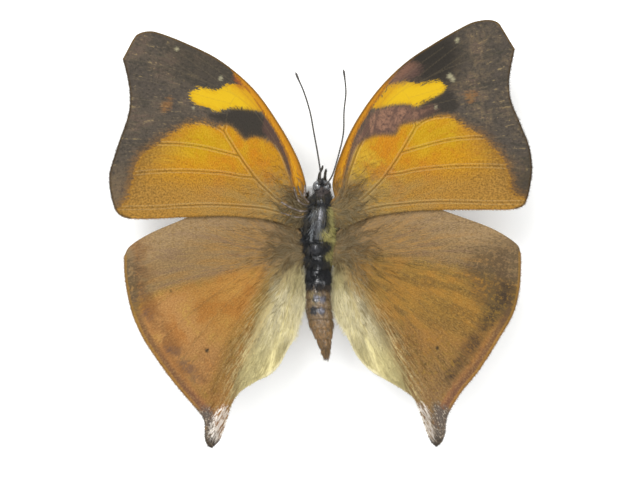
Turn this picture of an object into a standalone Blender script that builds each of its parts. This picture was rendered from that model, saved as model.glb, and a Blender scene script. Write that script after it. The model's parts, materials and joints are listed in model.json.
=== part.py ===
"""Autumn leaf butterfly, life size, spread as a museum specimen on a small display stand.

The head points along +Y and the wings lie open to both sides, upper faces up. The origin is
the middle of the stand's underside. Lengths are in millimetres until a mesh is made.
"""

from math import cos, pi, radians, sin, tan

import bmesh
import bpy
from mathutils import Matrix, Vector
from mathutils.geometry import delaunay_2d_cdt

MM = 0.001
GAP = 0.3                  # clearance between neighbouring pieces

# The body, as stations from front to back: place along Y, centre X, centre Z, half width, half height
THORAX = [
    (6.6, 0.15, 12.6, 0.95, 0.95),
    (6.1, 0.1, 12.6, 1.45, 1.45),
    (5.5, 0.05, 12.55, 1.55, 1.6),
    (5.0, 0.0, 12.5, 1.9, 2.05),
    (3.2, -0.15, 12.45, 2.2, 2.45),
    (0.5, -0.25, 12.4, 2.25, 2.55),
    (-1.4, -0.3, 12.3, 2.15, 2.4),
    (-2.2, -0.3, 12.25, 1.95, 2.1),
    (-2.7, -0.3, 12.2, 2.0, 2.1),
    (-3.9, -0.3, 12.15, 1.6, 1.6),
]
ABDOMEN = [
    (THORAX[-1][0] - GAP, -0.3, 12.15, 1.5, 1.5),
    (-5.0, -0.3, 12.15, 1.75, 1.7),
    (-7.0, -0.3, 12.15, 1.85, 1.75),
    (-9.0, -0.25, 12.1, 1.95, 1.8),
    (-11.0, -0.1, 12.05, 2.05, 1.85),
    (-12.6, 0.15, 11.95, 2.0, 1.8),
    (-14.0, 0.4, 11.85, 1.7, 1.55),
    (-15.5, 0.65, 11.75, 1.25, 1.2),
    (-16.9, 0.85, 11.7, 0.85, 0.85),
    (-17.9, 0.95, 11.65, 0.4, 0.4),
]
HEAD = [
    (9.3, 0.3, 12.4, 0.25, 0.3),
    (9.2, 0.3, 12.4, 0.55, 0.7),
    (8.8, 0.3, 12.5, 0.8, 1.1),
    (8.1, 0.3, 12.55, 0.86, 1.25),
    (7.4, 0.25, 12.6, 0.88, 1.15),
    (THORAX[0][0] + GAP, 0.2, 12.6, 0.9, 0.9),
]
BODY_STEPS = 2             # rings between two stations
SEGMENTS = 9               # rings of the abdomen
SEGMENT_STEP = 0.12        # how far each stands over the next
SEGMENT_PROFILE = ((0.0, 1.0), (0.25, 0.2), (0.92, 0.0))     # share of its length, share of the step
BODY_SQUARENESS = 2.2      # 2 is an ellipse, more is boxier

# The eyes: domes on the sides of the head
EYE_PLACE = (0.86, 8.0, 12.5)        # out from the head's centre, along, height
EYE_RADII = (0.82, 0.86, 0.94)

# The wings: one shared surface, the forewing a step above the hindwing
WING_THICKNESS = 0.5
FOREWING_HEIGHT = 13.35
HINDWING_HEIGHT = 12.35
DIHEDRAL = radians(3.5)
CAMBER = 0.8
DROOP = 0.8
HALF_SPAN = 31.5
MARGIN_STEP = 1.15         # length of an edge along a wing's margin
GRID_STEP = 2.6            # spacing of the points inside a wing
INNER_FOLD = 1.9          # how far the hindwing's inner margin bends down beside the abdomen
INNER_FOLD_WIDTH = 4.6
INNER_FOLD_REACH = (-2.6, -17.0)     # where the bend starts and ends, along Y
INNER_FOLD_EASE = (3.0, 4.0)         # over what length it comes and goes
INNER_MARGIN = 2.0                   # about how far out the inner margin and the roots lie
VEIN_HEIGHT = 0.18         # how far a vein stands out of each face
VEIN_WIDTH = 1.0
VEIN_STEP = 2.2            # length of an edge along a vein
VEIN_END = 0.6             # how far before the margin a vein ends

# Each wing's margins, as distance out from the middle line and place along Y. The two sides
# of a set specimen are never quite alike, so each has its own. The run from the end of the
# inner margin to the start of the costa is the root, which follows the thorax.
FOREWING_ROOT = (5.2, 3.6, 2.2)      # places along the thorax
HINDWING_ROOT = (-0.2, -1.6, -3.0)
LEFT_FOREWING = {
    "costa": [(2.3, 6.6), (2.2, 8.5), (3.5, 12.5), (6.2, 17.4), (10.0, 22.7), (15.0, 26.95),
              (20.0, 29.5), (24.0, 31.05), (25.7, 31.35), (27.2, 31.0), (28.0, 30.2), (29.6, 27.2)],
    "outer": [(29.6, 27.2), (28.9, 24.5), (28.5, 21.5), (28.8, 18.6), (30.2, 14.5), (31.4, 10.7),
              (31.6, 9.2), (31.4, 7.0), (30.7, 4.6), (29.8, 3.6), (28.5, 3.2)],
    "inner": [(28.5, 3.2), (25.0, 3.2), (19.0, 3.5), (13.0, 3.6), (7.0, 2.9), (3.4, 1.7)],
}
RIGHT_FOREWING = {
    "costa": [(2.25, 6.6), (1.95, 8.7), (3.0, 12.5), (5.2, 17.4), (8.6, 22.4), (12.8, 26.6),
              (17.5, 29.75), (22.0, 32.3), (24.0, 32.95), (25.6, 33.05), (26.8, 32.6), (27.5, 31.6),
              (29.25, 28.7)],
    "outer": [(29.25, 28.7), (28.5, 25.0), (28.4, 22.5), (28.8, 20.5), (30.2, 17.1), (31.4, 13.9),
              (31.8, 10.7), (31.4, 7.5), (30.7, 5.4), (29.5, 4.7)],
    "inner": [(29.5, 4.7), (27.0, 4.55), (20.0, 4.55), (14.0, 4.4), (8.0, 3.6), (3.2, 1.8)],
}
LEFT_HINDWING = {
    "costa": [(2.9, 1.1), (6.0, 4.2), (11.0, 5.6), (16.0, 5.0), (20.6, 3.1), (25.5, 1.0),
              (28.5, -0.9), (29.4, -2.4)],
    "outer": [(29.4, -2.4), (29.3, -5.6), (28.6, -9.6), (27.5, -12.8), (25.8, -16.0), (22.1, -21.2),
              (18.9, -25.0), (17.65, -26.6), (17.3, -27.8), (17.3, -29.8), (16.9, -30.9), (16.3, -31.3)],
    "inner": [(16.3, -31.3), (15.1, -30.0), (14.0, -26.9), (13.2, -24.5), (12.2, -23.0), (11.0, -22.05),
              (9.3, -21.05), (7.5, -20.2), (6.15, -18.8), (4.9, -16.5), (3.9, -14.9), (3.3, -13.2),
              (2.9, -11.6), (2.35, -10.0), (2.15, -8.0), (2.25, -5.8), (2.7, -4.0)],
}
RIGHT_HINDWING = {
    "costa": [(2.6, 1.1), (6.0, 4.6), (11.0, 6.0), (15.5, 5.6), (19.0, 4.25), (25.7, 1.8),
              (29.4, -0.5), (30.15, -2.0)],
    "outer": [(30.15, -2.0), (30.15, -4.6), (29.9, -7.6), (29.0, -11.1), (26.9, -14.8), (23.95, -19.5),
              (21.2, -22.9), (19.4, -25.9), (18.96, -27.4), (18.8, -29.1), (18.3, -30.4), (17.5, -31.1)],
    "inner": [(17.5, -31.1), (16.7, -30.3), (16.05, -28.8), (14.9, -25.4), (14.1, -23.8), (12.8, -22.7),
              (9.6, -20.8), (8.15, -20.0), (6.7, -18.8), (5.4, -17.1), (3.8, -13.9), (2.5, -12.0),
              (1.75, -9.8), (1.6, -8.1), (1.75, -5.8), (2.2, -4.0)],
}

# The main veins, from the root outward, in the left wings' places. The right wings' veins are
# the same lines, turned and stretched about the root.
FOREWING_VEINS = {
    "subcosta": [(3.1, 7.4), (4.5, 12.0), (7.2, 16.9), (10.8, 21.4), (14.6, 24.9), (18.8, 27.8)],
    "radius": [(3.3, 6.0), (4.4, 9.5), (6.0, 13.5), (8.3, 17.2), (10.4, 19.9), (12.6, 21.7)],
    "radius_2": [(12.6, 21.7), (15.9, 24.3), (19.4, 26.9), (23.0, 29.4)],
    "radius_4": [(12.6, 21.7), (16.8, 23.6), (21.0, 26.2), (26.6, 30.0)],
    "radius_5": [(16.8, 23.6), (22.0, 25.6), (29.0, 27.4)],
    "media_1": [(13.4, 20.5), (17.6, 21.6), (22.6, 23.2), (28.3, 24.3)],
    "media_2": [(13.9, 18.9), (18.2, 19.7), (23.2, 20.7), (28.2, 21.2)],
    "cell_end": [(12.6, 21.7), (13.4, 20.5), (13.9, 18.9), (14.4, 16.3)],
    "cubitus": [(3.2, 4.4), (6.0, 5.8), (8.4, 7.9), (9.8, 9.4), (12.1, 12.6), (14.4, 16.3)],
    "media_3": [(14.4, 16.3), (16.0, 17.3), (18.2, 17.7), (23.0, 17.9), (28.8, 17.4)],
    "cubitus_1": [(12.1, 12.6), (14.0, 13.1), (19.0, 14.2), (24.0, 14.5), (30.0, 14.2)],
    "cubitus_2": [(9.8, 9.4), (12.0, 9.6), (15.0, 10.1), (21.0, 10.4), (27.0, 10.1), (31.4, 9.3)],
    "anal": [(3.3, 3.4), (8.0, 4.7), (12.0, 5.1), (16.0, 5.3), (20.0, 5.2), (25.0, 4.9), (30.2, 4.8)],
}
HINDWING_VEINS = {
    "subcosta": [(3.8, 0.2), (7.0, 1.6), (12.0, 2.5), (18.0, 1.9), (24.0, 0.0), (28.8, -2.0)],
    "radius": [(3.8, -0.8), (8.0, 0.0), (12.0, 0.2), (18.0, -0.8), (24.0, -2.6), (29.4, -5.0)],
    "media_1": [(8.0, 0.0), (14.0, -1.9), (20.0, -3.9), (29.0, -8.6)],
    "media_2": [(9.5, -1.6), (15.0, -4.1), (21.0, -7.1), (27.7, -12.6)],
    "media_3": [(9.8, -3.7), (15.0, -7.6), (20.6, -12.0), (25.4, -16.6)],
    "cell_end": [(8.0, 0.0), (9.5, -1.6), (9.8, -3.7)],
    "cubitus": [(3.8, -1.8), (6.2, -3.2), (8.2, -4.0), (9.8, -3.7)],
    "cubitus_1": [(8.2, -4.0), (13.0, -8.6), (18.0, -14.2), (22.4, -20.6)],
    "cubitus_2": [(6.2, -3.2), (10.4, -9.2), (14.4, -15.6), (17.4, -21.2), (18.7, -24.8)],
    "anal_2": [(3.8, -2.6), (5.4, -6.0), (8.2, -11.4), (11.6, -17.8), (15.0, -24.6), (16.5, -29.6)],
    "anal_3": [(3.5, -3.4), (4.2, -7.0), (5.0, -11.0), (6.4, -15.4), (7.6, -19.6)],
}
# How a side's veins lie: pivot, turn and stretch
FOREWING_FIT = {"left": ((2.2, 4.5), 0.0, 1.0), "right": ((2.2, 4.5), radians(1.7), 1.03)}
HINDWING_FIT = {"left": ((2.2, -1.5), 0.0, 1.0), "right": ((2.2, -1.5), radians(3.0), 1.02)}

# The feelers and mouthparts, each a route of points in X, Y and Z
ANTENNA_RADIUS = 0.25
ANTENNA_STEP = 1.1
CLUB_RADIUS = 0.32
CLUB_LENGTH = 2.0
ANTENNA_ROOTS = {"left": (-0.1, 8.5), "right": (0.8, 8.3)}
ANTENNA_ROUTES = {
    "left": [(-0.08, 8.66, 14.5), (0.08, 9.4, 14.7), (0.05, 10.3, 14.8), (-0.35, 13.0, 15.1),
             (-0.9, 16.0, 15.45), (-1.45, 19.0, 15.75), (-2.35, 22.0, 16.05), (-3.3, 24.2, 16.25),
             (-3.65, 25.1, 16.35)],
    "right": [(0.88, 8.4, 14.5), (1.35, 8.8, 14.7), (1.95, 10.0, 14.8), (2.85, 13.0, 15.1),
              (3.5, 16.0, 15.45), (3.6, 19.3, 15.8), (3.87, 22.0, 16.1), (3.7, 24.2, 16.3),
              (3.52, 25.5, 16.4)],
}
PALP_RADIUS = 0.27
PALP_TAPER = 0.55          # share of the radius lost at the tip
PALP_ROOTS = {"left": (-0.12, 12.35), "right": (0.74, 12.35)}
PALP_ROUTES = {
    "left": [(0.0, 10.1, 12.6), (0.25, 10.65, 12.9), (0.42, 11.1, 13.15)],
    "right": [(0.79, 10.0, 12.55), (0.85, 10.25, 12.7), (0.9, 10.6, 12.85)],
}
PROBOSCIS_PLACE = 8.3      # where the coil hangs, along Y
PROBOSCIS_RADIUS = 0.25
PROBOSCIS_STEPS = 24
COIL_PITCH = 0.85
COIL_OUTER = 1.3
COIL_INNER = 0.3

# The legs, as places out from the body's middle line, along Y and in height; a root's height is
# that of the thorax over it. The first pair is only a pair of small brushes, as in all
# brush-footed butterflies.
LEG_RADII = (0.36, 0.3, 0.26, 0.25, 0.25)
LEG_ROOTS = {"foreleg": (1.0, 4.3), "midleg": (1.15, 2.4), "hindleg": (1.05, -1.7)}
LEG_ROUTES = {
    "foreleg": [(1.6, 4.9, 9.3), (1.7, 6.2, 9.35), (1.6, 7.2, 9.8)],
    "midleg": [(2.4, 3.3, 8.6), (3.6, 3.6, 8.5), (2.7, 1.0, 7.7), (2.1, -1.4, 7.3), (2.0, -4.2, 7.0)],
    "hindleg": [(2.2, -2.2, 9.0), (3.9, -3.0, 8.9), (3.3, -6.2, 8.0), (2.5, -9.0, 7.7),
                (2.2, -11.6, 7.5)],
}

# The stand
BASE_RADIUS = 8.5
BASE_THICKNESS = 2.5
BASE_BEVEL = 0.4
ROD_RADIUS = 0.75

SIDES = (("left", -1), ("right", 1))
CURVE_STEPS = 6            # straight pieces between two points of a curve, before it is evened
MERGE_DISTANCE = 0.05      # points of a wing nearer than this become one


def smooth(points, steps):
    """An open curve through the points, with the given number of steps between each two."""
    knots = [Vector(point) for point in points]
    padded = [2 * knots[0] - knots[1], *knots, 2 * knots[-1] - knots[-2]]
    curve = []
    for index in range(len(knots) - 1):
        before, start, end, after = padded[index:index + 4]
        for step in range(steps):
            t = step / steps
            curve.append(0.5 * (2 * start + (end - before) * t
                                + (2 * before - 5 * start + 4 * end - after) * t ** 2
                                + (3 * start - before - 3 * end + after) * t ** 3))
    curve.append(knots[-1])
    return curve


def even(curve, step):
    """The curve's points about one step apart, with both ends kept."""
    lengths = [0.0]
    for start, end in zip(curve, curve[1:]):
        lengths.append(lengths[-1] + (end - start).length)
    count = max(1, round(lengths[-1] / step))
    points = []
    index = 0
    for number in range(count + 1):
        target = lengths[-1] * number / count
        while index < len(curve) - 2 and lengths[index + 1] < target:
            index += 1
        share = (target - lengths[index]) / (lengths[index + 1] - lengths[index])
        points.append(curve[index].lerp(curve[index + 1], share))
    return points


def station(stations, y):
    """Centre X, centre Z, half width and half height of a body section at a place along Y."""
    curve = smooth(stations, BODY_STEPS)
    for front, back in zip(curve, curve[1:]):
        if back[0] <= y <= front[0]:
            share = (front[0] - y) / (front[0] - back[0])
            return [a + (b - a) * share for a, b in zip(front[1:], back[1:])]
    raise ValueError("no section there")


def body_side(stations, y, z, side):
    """X of a body part's surface, on one side, at a place along Y and a height."""
    centre_x, centre_z, half_width, half_height = station(stations, y)
    level = abs((z - centre_z) / half_height) ** BODY_SQUARENESS
    return centre_x + side * half_width * (1 - level) ** (1 / BODY_SQUARENESS)


def body_height(stations, x, y, face):
    """Z of a body part's surface, its back (1) or underside (-1), over a place."""
    centre_x, centre_z, half_width, half_height = station(stations, y)
    level = abs((x - centre_x) / half_width) ** BODY_SQUARENESS
    return centre_z + face * half_height * (1 - level) ** (1 / BODY_SQUARENESS)


def finish_mesh(name, shape, colour, roughness, smooth_angle=radians(40)):
    """Turns a bmesh in millimetres into a named object in metres."""
    bmesh.ops.recalc_face_normals(shape, faces=shape.faces)
    bmesh.ops.scale(shape, vec=(MM, MM, MM), verts=shape.verts)
    mesh = bpy.data.meshes.new(name)
    shape.to_mesh(mesh)
    shape.free()
    mesh.shade_smooth()
    mesh.set_sharp_from_angle(angle=smooth_angle)
    piece = bpy.data.objects.new(name, mesh)
    bpy.context.collection.objects.link(piece)
    mesh.materials.append(material(name, colour, roughness))
    return piece


def material(name, colour, roughness, metallic=0.0):
    """A Principled material of its own for one piece."""
    paint = bpy.data.materials.new(name)
    paint.use_nodes = True
    shader = paint.node_tree.nodes["Principled BSDF"]
    shader.inputs["Base Color"].default_value = (*colour, 1.0)
    shader.inputs["Roughness"].default_value = roughness
    shader.inputs["Metallic"].default_value = metallic
    paint.diffuse_color = (*colour, 1.0)
    return paint


def skin_rings(shape, rings):
    """Joins rings of points into one closed tube with flat ends."""
    loops = [[shape.verts.new(point) for point in ring] for ring in rings]
    for front, back in zip(loops, loops[1:]):
        for index in range(len(front)):
            after = (index + 1) % len(front)
            shape.faces.new((front[index], front[after], back[after], back[index]))
    shape.faces.new(loops[0])
    shape.faces.new(loops[-1][::-1])
    bmesh.ops.triangulate(shape, faces=shape.faces)


def body_ring(values, sides, grow=0.0):
    """One rounded section of the body, from a station's five values."""
    y, centre_x, centre_z, half_width, half_height = values
    ring = []
    for index in range(sides):
        angle = 2 * pi * index / sides
        across = abs(cos(angle)) ** (2 / BODY_SQUARENESS) * (1 if cos(angle) >= 0 else -1)
        up = abs(sin(angle)) ** (2 / BODY_SQUARENESS) * (1 if sin(angle) >= 0 else -1)
        ring.append((centre_x + across * (half_width + grow), y, centre_z + up * (half_height + grow)))
    return ring


def body_piece(name, stations, sides, colour, roughness):
    """A part of the body, lofted through its stations."""
    shape = bmesh.new()
    skin_rings(shape, [body_ring(values, sides) for values in stations])
    return finish_mesh(name, shape, colour, roughness)


def segmented(stations):
    """The abdomen's stations, with each segment's rear edge standing over the next one."""
    front, back = stations[0][0], stations[-1][0]
    length = (front - back) / SEGMENTS
    rings = []
    for index in range(SEGMENTS):
        for share, step_in in SEGMENT_PROFILE:
            y = front - (index + share) * length
            centre_x, centre_z, half_width, half_height = station(stations, y)
            step = SEGMENT_STEP * step_in * min(1.0, half_width)
            rings.append((y, centre_x, centre_z, half_width - step, half_height - step))
    return [*rings, stations[-1]]


def tube(name, route, radii, sides, colour, roughness):
    """A round tube along a route, with a radius at each of its points."""
    route = [Vector(point) for point in route]
    normal = (route[1] - route[0]).orthogonal().normalized()
    rings = []
    for index, point in enumerate(route):
        ahead = route[min(index + 1, len(route) - 1)] - route[max(index - 1, 0)]
        ahead.normalize()
        normal = (normal - ahead * normal.dot(ahead)).normalized()
        across = ahead.cross(normal)
        rings.append([point + radii[index] * (cos(2 * pi * turn / sides) * normal
                                              + sin(2 * pi * turn / sides) * across)
                      for turn in range(sides)])
    shape = bmesh.new()
    skin_rings(shape, rings)
    return finish_mesh(name, shape, colour, roughness)


def wing_rise(across, y):
    """Height of the wings' shared surface above the root, at a distance out from the body."""
    share = min(across / HALF_SPAN, 1.0)
    return across * tan(DIHEDRAL) + CAMBER * sin(pi * share) - DROOP * (y / HALF_SPAN) ** 2


def ease(value):
    """A smooth step from 0 to 1."""
    value = min(max(value, 0.0), 1.0)
    return value * value * (3 - 2 * value)


def forewing_height(across, y):
    """Height of the forewing's middle surface."""
    return FOREWING_HEIGHT + wing_rise(across, y)


def hindwing_height(across, y):
    """Height of the hindwing's middle surface, bent down along the abdomen."""
    beside = (ease((INNER_FOLD_REACH[0] - y) / INNER_FOLD_EASE[0])
              * ease((y - INNER_FOLD_REACH[1]) / INNER_FOLD_EASE[1]))
    inward = ease((INNER_MARGIN + INNER_FOLD_WIDTH - across) / INNER_FOLD_WIDTH)
    return HINDWING_HEIGHT + wing_rise(across, y) - INNER_FOLD * beside * inward


def wing_margin(margins, root, height, side):
    """The closed outline of a wing, its root a gap away from the thorax."""
    points = []
    for run in ("costa", "outer", "inner"):
        points += even(smooth(margins[run], CURVE_STEPS), MARGIN_STEP)[:-1]
    points.append(Vector(margins["inner"][-1]))
    for y in reversed(root):
        low = height(INNER_MARGIN, y) - WING_THICKNESS / 2
        points.append(Vector((side * body_side(THORAX, y, low, side) + GAP, y)))
    return points


def inside(point, outline):
    """Whether a point lies inside a closed outline."""
    crossings = 0
    for start, end in zip(outline, outline[1:] + outline[:1]):
        if (start.y > point.y) != (end.y > point.y):
            place = start.x + (point.y - start.y) * (end.x - start.x) / (end.y - start.y)
            crossings += place > point.x
    return crossings % 2 == 1


def edges_of(line, closed=False):
    """The straight edges of a line of points."""
    return list(zip(line, line[1:] + line[:1])) if closed else list(zip(line, line[1:]))


def distance_to(point, edges):
    """Distance from a point to the nearest of some straight edges."""
    nearest = float("inf")
    for start, end in edges:
        line = end - start
        share = min(max((point - start).dot(line) / line.length_squared, 0.0), 1.0)
        nearest = min(nearest, (point - start - share * line).length)
    return nearest


def grid_inside(outline, step, edges, clearance):
    """Points in staggered rows inside an outline, clear of the given edges."""
    low_x = min(point.x for point in outline)
    high_x = max(point.x for point in outline)
    low_y = min(point.y for point in outline)
    high_y = max(point.y for point in outline)
    row_step = step * sin(pi / 3)
    points = []
    for row in range(int((high_y - low_y) / row_step) + 1):
        for column in range(int((high_x - low_x) / step) + 1):
            point = Vector((low_x + (column + 0.5 * (row % 2)) * step, low_y + row * row_step))
            if inside(point, outline) and distance_to(point, edges) > clearance:
                points.append(point)
    return points


def vein_lines(veins, fit, outline):
    """The crests of a wing's veins, ending a little before its margin."""
    pivot, turn, stretch = fit
    pivot = Vector(pivot)
    rotation = Matrix.Rotation(turn, 2)
    edges = edges_of(outline, closed=True)
    lines = []
    for route in veins.values():
        placed = [pivot + stretch * (rotation @ (Vector(point) - pivot)) for point in route]
        clear = [point for point in smooth(placed, CURVE_STEPS)
                 if inside(point, outline) and distance_to(point, edges) > VEIN_END]
        lines.append(even(clear, VEIN_STEP))
    return lines


def vein_feet(lines, outline):
    """Lines of points along both sides of each vein, where its ridge meets the membrane."""
    margin = edges_of(outline, closed=True)
    feet = []
    for number, line in enumerate(lines):
        others = [edge for other in lines[:number] + lines[number + 1:] for edge in edges_of(other)]
        for side in (-1, 1):
            run = []
            for index, crest in enumerate(line):
                along = (line[min(index + 1, len(line) - 1)] - line[max(index - 1, 0)]).normalized()
                foot = crest + side * Vector((-along.y, along.x)) * VEIN_WIDTH / 2
                taken = [point for other in feet for point in other]
                near = min([(foot - point).length for point in taken] or [VEIN_WIDTH])
                if distance_to(foot, others + margin) > 0.5 * VEIN_WIDTH and near > 0.6 * VEIN_WIDTH:
                    run.append(foot)
                elif run:
                    feet.append(run)
                    run = []
            if run:
                feet.append(run)
    return feet


def chain(points, constraints, line, closed=False):
    """Adds a line of points and the edges that join them."""
    first = len(points)
    points += line
    constraints += [(first + index, first + index + 1) for index in range(len(line) - 1)]
    if closed:
        constraints.append((len(points) - 1, first))


def wing(name, margins, root, height, veins, fit, side, colour):
    """A wing: a thin membrane with raised veins and the same triangles on both faces."""
    outline = wing_margin(margins, root, height, side)
    points = []
    constraints = []
    chain(points, constraints, outline, closed=True)
    lines = vein_lines(veins, fit, outline)
    for line in lines + vein_feet(lines, outline):
        chain(points, constraints, line)
    crests = [edge for line in lines for edge in edges_of(line)]
    points += grid_inside(outline, GRID_STEP, crests + edges_of(outline, closed=True), 0.5 * GRID_STEP)
    places, _, triangles, _, _, _ = delaunay_2d_cdt(points, constraints, [], 1, MERGE_DISTANCE)
    half = [WING_THICKNESS / 2 + VEIN_HEIGHT * max(0.0, 1 - distance_to(place, crests) / (VEIN_WIDTH / 2))
            for place in places]
    shape = bmesh.new()
    top, bottom = ([shape.verts.new((side * place.x, place.y, height(place.x, place.y) + face * offset))
                    for place, offset in zip(places, half)] for face in (1, -1))
    for triangle in triangles:
        shape.faces.new([top[index] for index in triangle])
        shape.faces.new([bottom[index] for index in reversed(triangle)])
    shape.verts.index_update()
    rims = [edge for edge in shape.edges if edge.is_boundary and edge.verts[0].index < len(places)]
    for edge in rims:
        first, last = (vert.index for vert in edge.verts)
        shape.faces.new((top[first], top[last], bottom[last], bottom[first]))
    bmesh.ops.triangulate(shape, faces=shape.faces)
    return finish_mesh(name, shape, colour, 0.7)


def eye(side_name, side):
    """A compound eye: a dome, hollowed at the back to sit a gap away from the head."""
    centre_x = station(HEAD, EYE_PLACE[1])[0]
    bpy.ops.mesh.primitive_uv_sphere_add(segments=20, ring_count=12, radius=1.0, location=(0, 0, 0))
    dome = bpy.context.object
    dome.name = f"eye_{side_name}"
    dome.data.name = dome.name
    dome.scale = [radius * MM for radius in EYE_RADII]
    dome.location = [value * MM for value in (centre_x + side * EYE_PLACE[0], *EYE_PLACE[1:])]
    bpy.ops.object.transform_apply(location=True, rotation=False, scale=True)
    bpy.ops.object.shade_smooth()
    dome.data.materials.append(material(dome.name, (0.02, 0.025, 0.035), 0.15))
    shape = bmesh.new()
    skin_rings(shape, [body_ring(values, 20, GAP) for values in smooth(HEAD, BODY_STEPS)])
    cutter = finish_mesh(f"eye_{side_name}_socket", shape, (0.5, 0.5, 0.5), 0.5)
    cut = dome.modifiers.new("socket", "BOOLEAN")
    cut.operation = "DIFFERENCE"
    cut.object = cutter
    bpy.context.view_layer.objects.active = dome
    bpy.ops.object.modifier_apply(modifier=cut.name)
    bpy.data.objects.remove(cutter)
    return dome


def antenna_radius(distance_left):
    """A feeler's radius, from how far it still is to its tip."""
    if distance_left < ANTENNA_STEP / 3:
        return 0.6 * ANTENNA_RADIUS
    swell = ease(1.5 * (1 - distance_left / CLUB_LENGTH))
    return ANTENNA_RADIUS + (CLUB_RADIUS - ANTENNA_RADIUS) * swell


def antenna(side_name):
    """A feeler with a slim club at its tip, rooted on top of the head."""
    x, y = ANTENNA_ROOTS[side_name]
    root = (x, y, body_height(HEAD, x, y, 1) + GAP + ANTENNA_RADIUS)
    points = even(smooth([root, *ANTENNA_ROUTES[side_name]], CURVE_STEPS), ANTENNA_STEP)
    radii = [antenna_radius((points[-1] - point).length) for point in points]
    return tube(f"antenna_{side_name}", points, radii, 8, (0.05, 0.035, 0.03), 0.5)


def palp(side_name):
    """One of the two feelers of the mouth, tapering forward from the front of the head."""
    x, z = PALP_ROOTS[side_name]
    root = (x, HEAD[0][0] + GAP + PALP_RADIUS / 2, z)
    points = smooth([root, *PALP_ROUTES[side_name]], 2)
    radii = [PALP_RADIUS * (1 - PALP_TAPER * index / (len(points) - 1)) for index in range(len(points))]
    return tube(f"palp_{side_name}", points, radii, 8, (0.06, 0.045, 0.04), 0.7)


def proboscis():
    """The coiled tongue under the head."""
    centre_x = station(HEAD, PROBOSCIS_PLACE)[0]
    chin = body_height(HEAD, centre_x, PROBOSCIS_PLACE, -1)
    centre = Vector((centre_x, PROBOSCIS_PLACE, chin - GAP - PROBOSCIS_RADIUS - COIL_OUTER))
    turns = (COIL_OUTER - COIL_INNER) / COIL_PITCH
    points = []
    for index in range(PROBOSCIS_STEPS + 1):
        share = index / PROBOSCIS_STEPS
        angle = pi / 2 - 2 * pi * turns * share
        radius = COIL_OUTER + (COIL_INNER - COIL_OUTER) * share
        points.append(centre + radius * Vector((0, cos(angle), sin(angle))))
    return tube("proboscis", points, [PROBOSCIS_RADIUS] * len(points), 6, (0.16, 0.09, 0.05), 0.5)


def leg(pair, side_name, side):
    """A leg, folded under the body."""
    centre_x = station(THORAX, 0.0)[0]
    out, y = LEG_ROOTS[pair]
    belly = body_height(THORAX, centre_x + side * out, y, -1)
    route = [(out, y, belly - GAP - LEG_RADII[0]), *LEG_ROUTES[pair]]
    points = smooth([(centre_x + side * across, along, height) for across, along, height in route], 3)
    radii = []
    for index in range(len(points)):
        place = index / (len(points) - 1) * (len(LEG_RADII) - 1)
        joint = min(int(place), len(LEG_RADII) - 2)
        radii.append(LEG_RADII[joint] + (LEG_RADII[joint + 1] - LEG_RADII[joint]) * (place - joint))
    return tube(f"{pair}_{side_name}", points, radii, 6, (0.09, 0.06, 0.045), 0.6)


def stand():
    """A plain round base with one rod up to the thorax."""
    bpy.ops.mesh.primitive_cylinder_add(vertices=64, radius=BASE_RADIUS * MM, depth=BASE_THICKNESS * MM,
                                        location=(0, 0, BASE_THICKNESS / 2 * MM))
    base = bpy.context.object
    base.name = "stand_base"
    bevel = base.modifiers.new("edge", "BEVEL")
    bevel.width = BASE_BEVEL * MM
    bevel.segments = 2
    base.data.materials.append(material(base.name, (0.85, 0.85, 0.84), 0.3))
    low = BASE_THICKNESS + GAP
    high = body_height(THORAX, 0.0, 0.0, -1) - GAP
    bpy.ops.mesh.primitive_cylinder_add(vertices=24, radius=ROD_RADIUS * MM, depth=(high - low) * MM,
                                        location=(0, 0, (low + high) / 2 * MM))
    rod = bpy.context.object
    rod.name = "stand_rod"
    rod.data.materials.append(material(rod.name, (0.62, 0.62, 0.63), 0.25, 1.0))
    for piece in (base, rod):
        piece.data.name = piece.name
        piece.data.shade_smooth()
        piece.data.set_sharp_from_angle(angle=radians(30))
    return [base, rod]


def butterfly():
    """Every piece of the animal."""
    pieces = [
        body_piece("thorax", smooth(THORAX, BODY_STEPS), 24, (0.03, 0.025, 0.025), 0.6),
        body_piece("abdomen", segmented(ABDOMEN), 20, (0.16, 0.09, 0.04), 0.6),
        body_piece("head", smooth(HEAD, BODY_STEPS), 20, (0.03, 0.03, 0.03), 0.5),
        proboscis(),
    ]
    outlines = {"left": (LEFT_FOREWING, LEFT_HINDWING), "right": (RIGHT_FOREWING, RIGHT_HINDWING)}
    for side_name, side in SIDES:
        fore, hind = outlines[side_name]
        pieces.append(wing(f"forewing_{side_name}", fore, FOREWING_ROOT, forewing_height,
                           FOREWING_VEINS, FOREWING_FIT[side_name], side, (0.5, 0.22, 0.03)))
        pieces.append(wing(f"hindwing_{side_name}", hind, HINDWING_ROOT, hindwing_height,
                           HINDWING_VEINS, HINDWING_FIT[side_name], side, (0.3, 0.15, 0.05)))
        pieces += [eye(side_name, side), antenna(side_name), palp(side_name)]
        pieces += [leg(pair, side_name, side) for pair in LEG_ROOTS]
    return pieces


def main():
    for old in list(bpy.data.objects):
        bpy.data.objects.remove(old)
    specimen = bpy.data.objects.new("specimen", None)
    bpy.context.collection.objects.link(specimen)
    for piece in butterfly() + stand():
        piece.parent = specimen


main()
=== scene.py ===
"""Autumn leaf butterfly: the looks of a spread museum specimen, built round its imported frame.

The head points along +Y, the upper faces of the wings are up, and the origin is the middle of
the stand's underside. Lengths are in millimetres until a mesh is made, apart from the settings,
which are in metres. Places on a wing are distance out from the middle line and place along Y.
"""

import json
from itertools import product
from math import cos, pi, radians, sin, tan

import bpy
import numpy as np
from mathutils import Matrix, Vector
from mathutils.geometry import delaunay_2d_cdt

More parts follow.
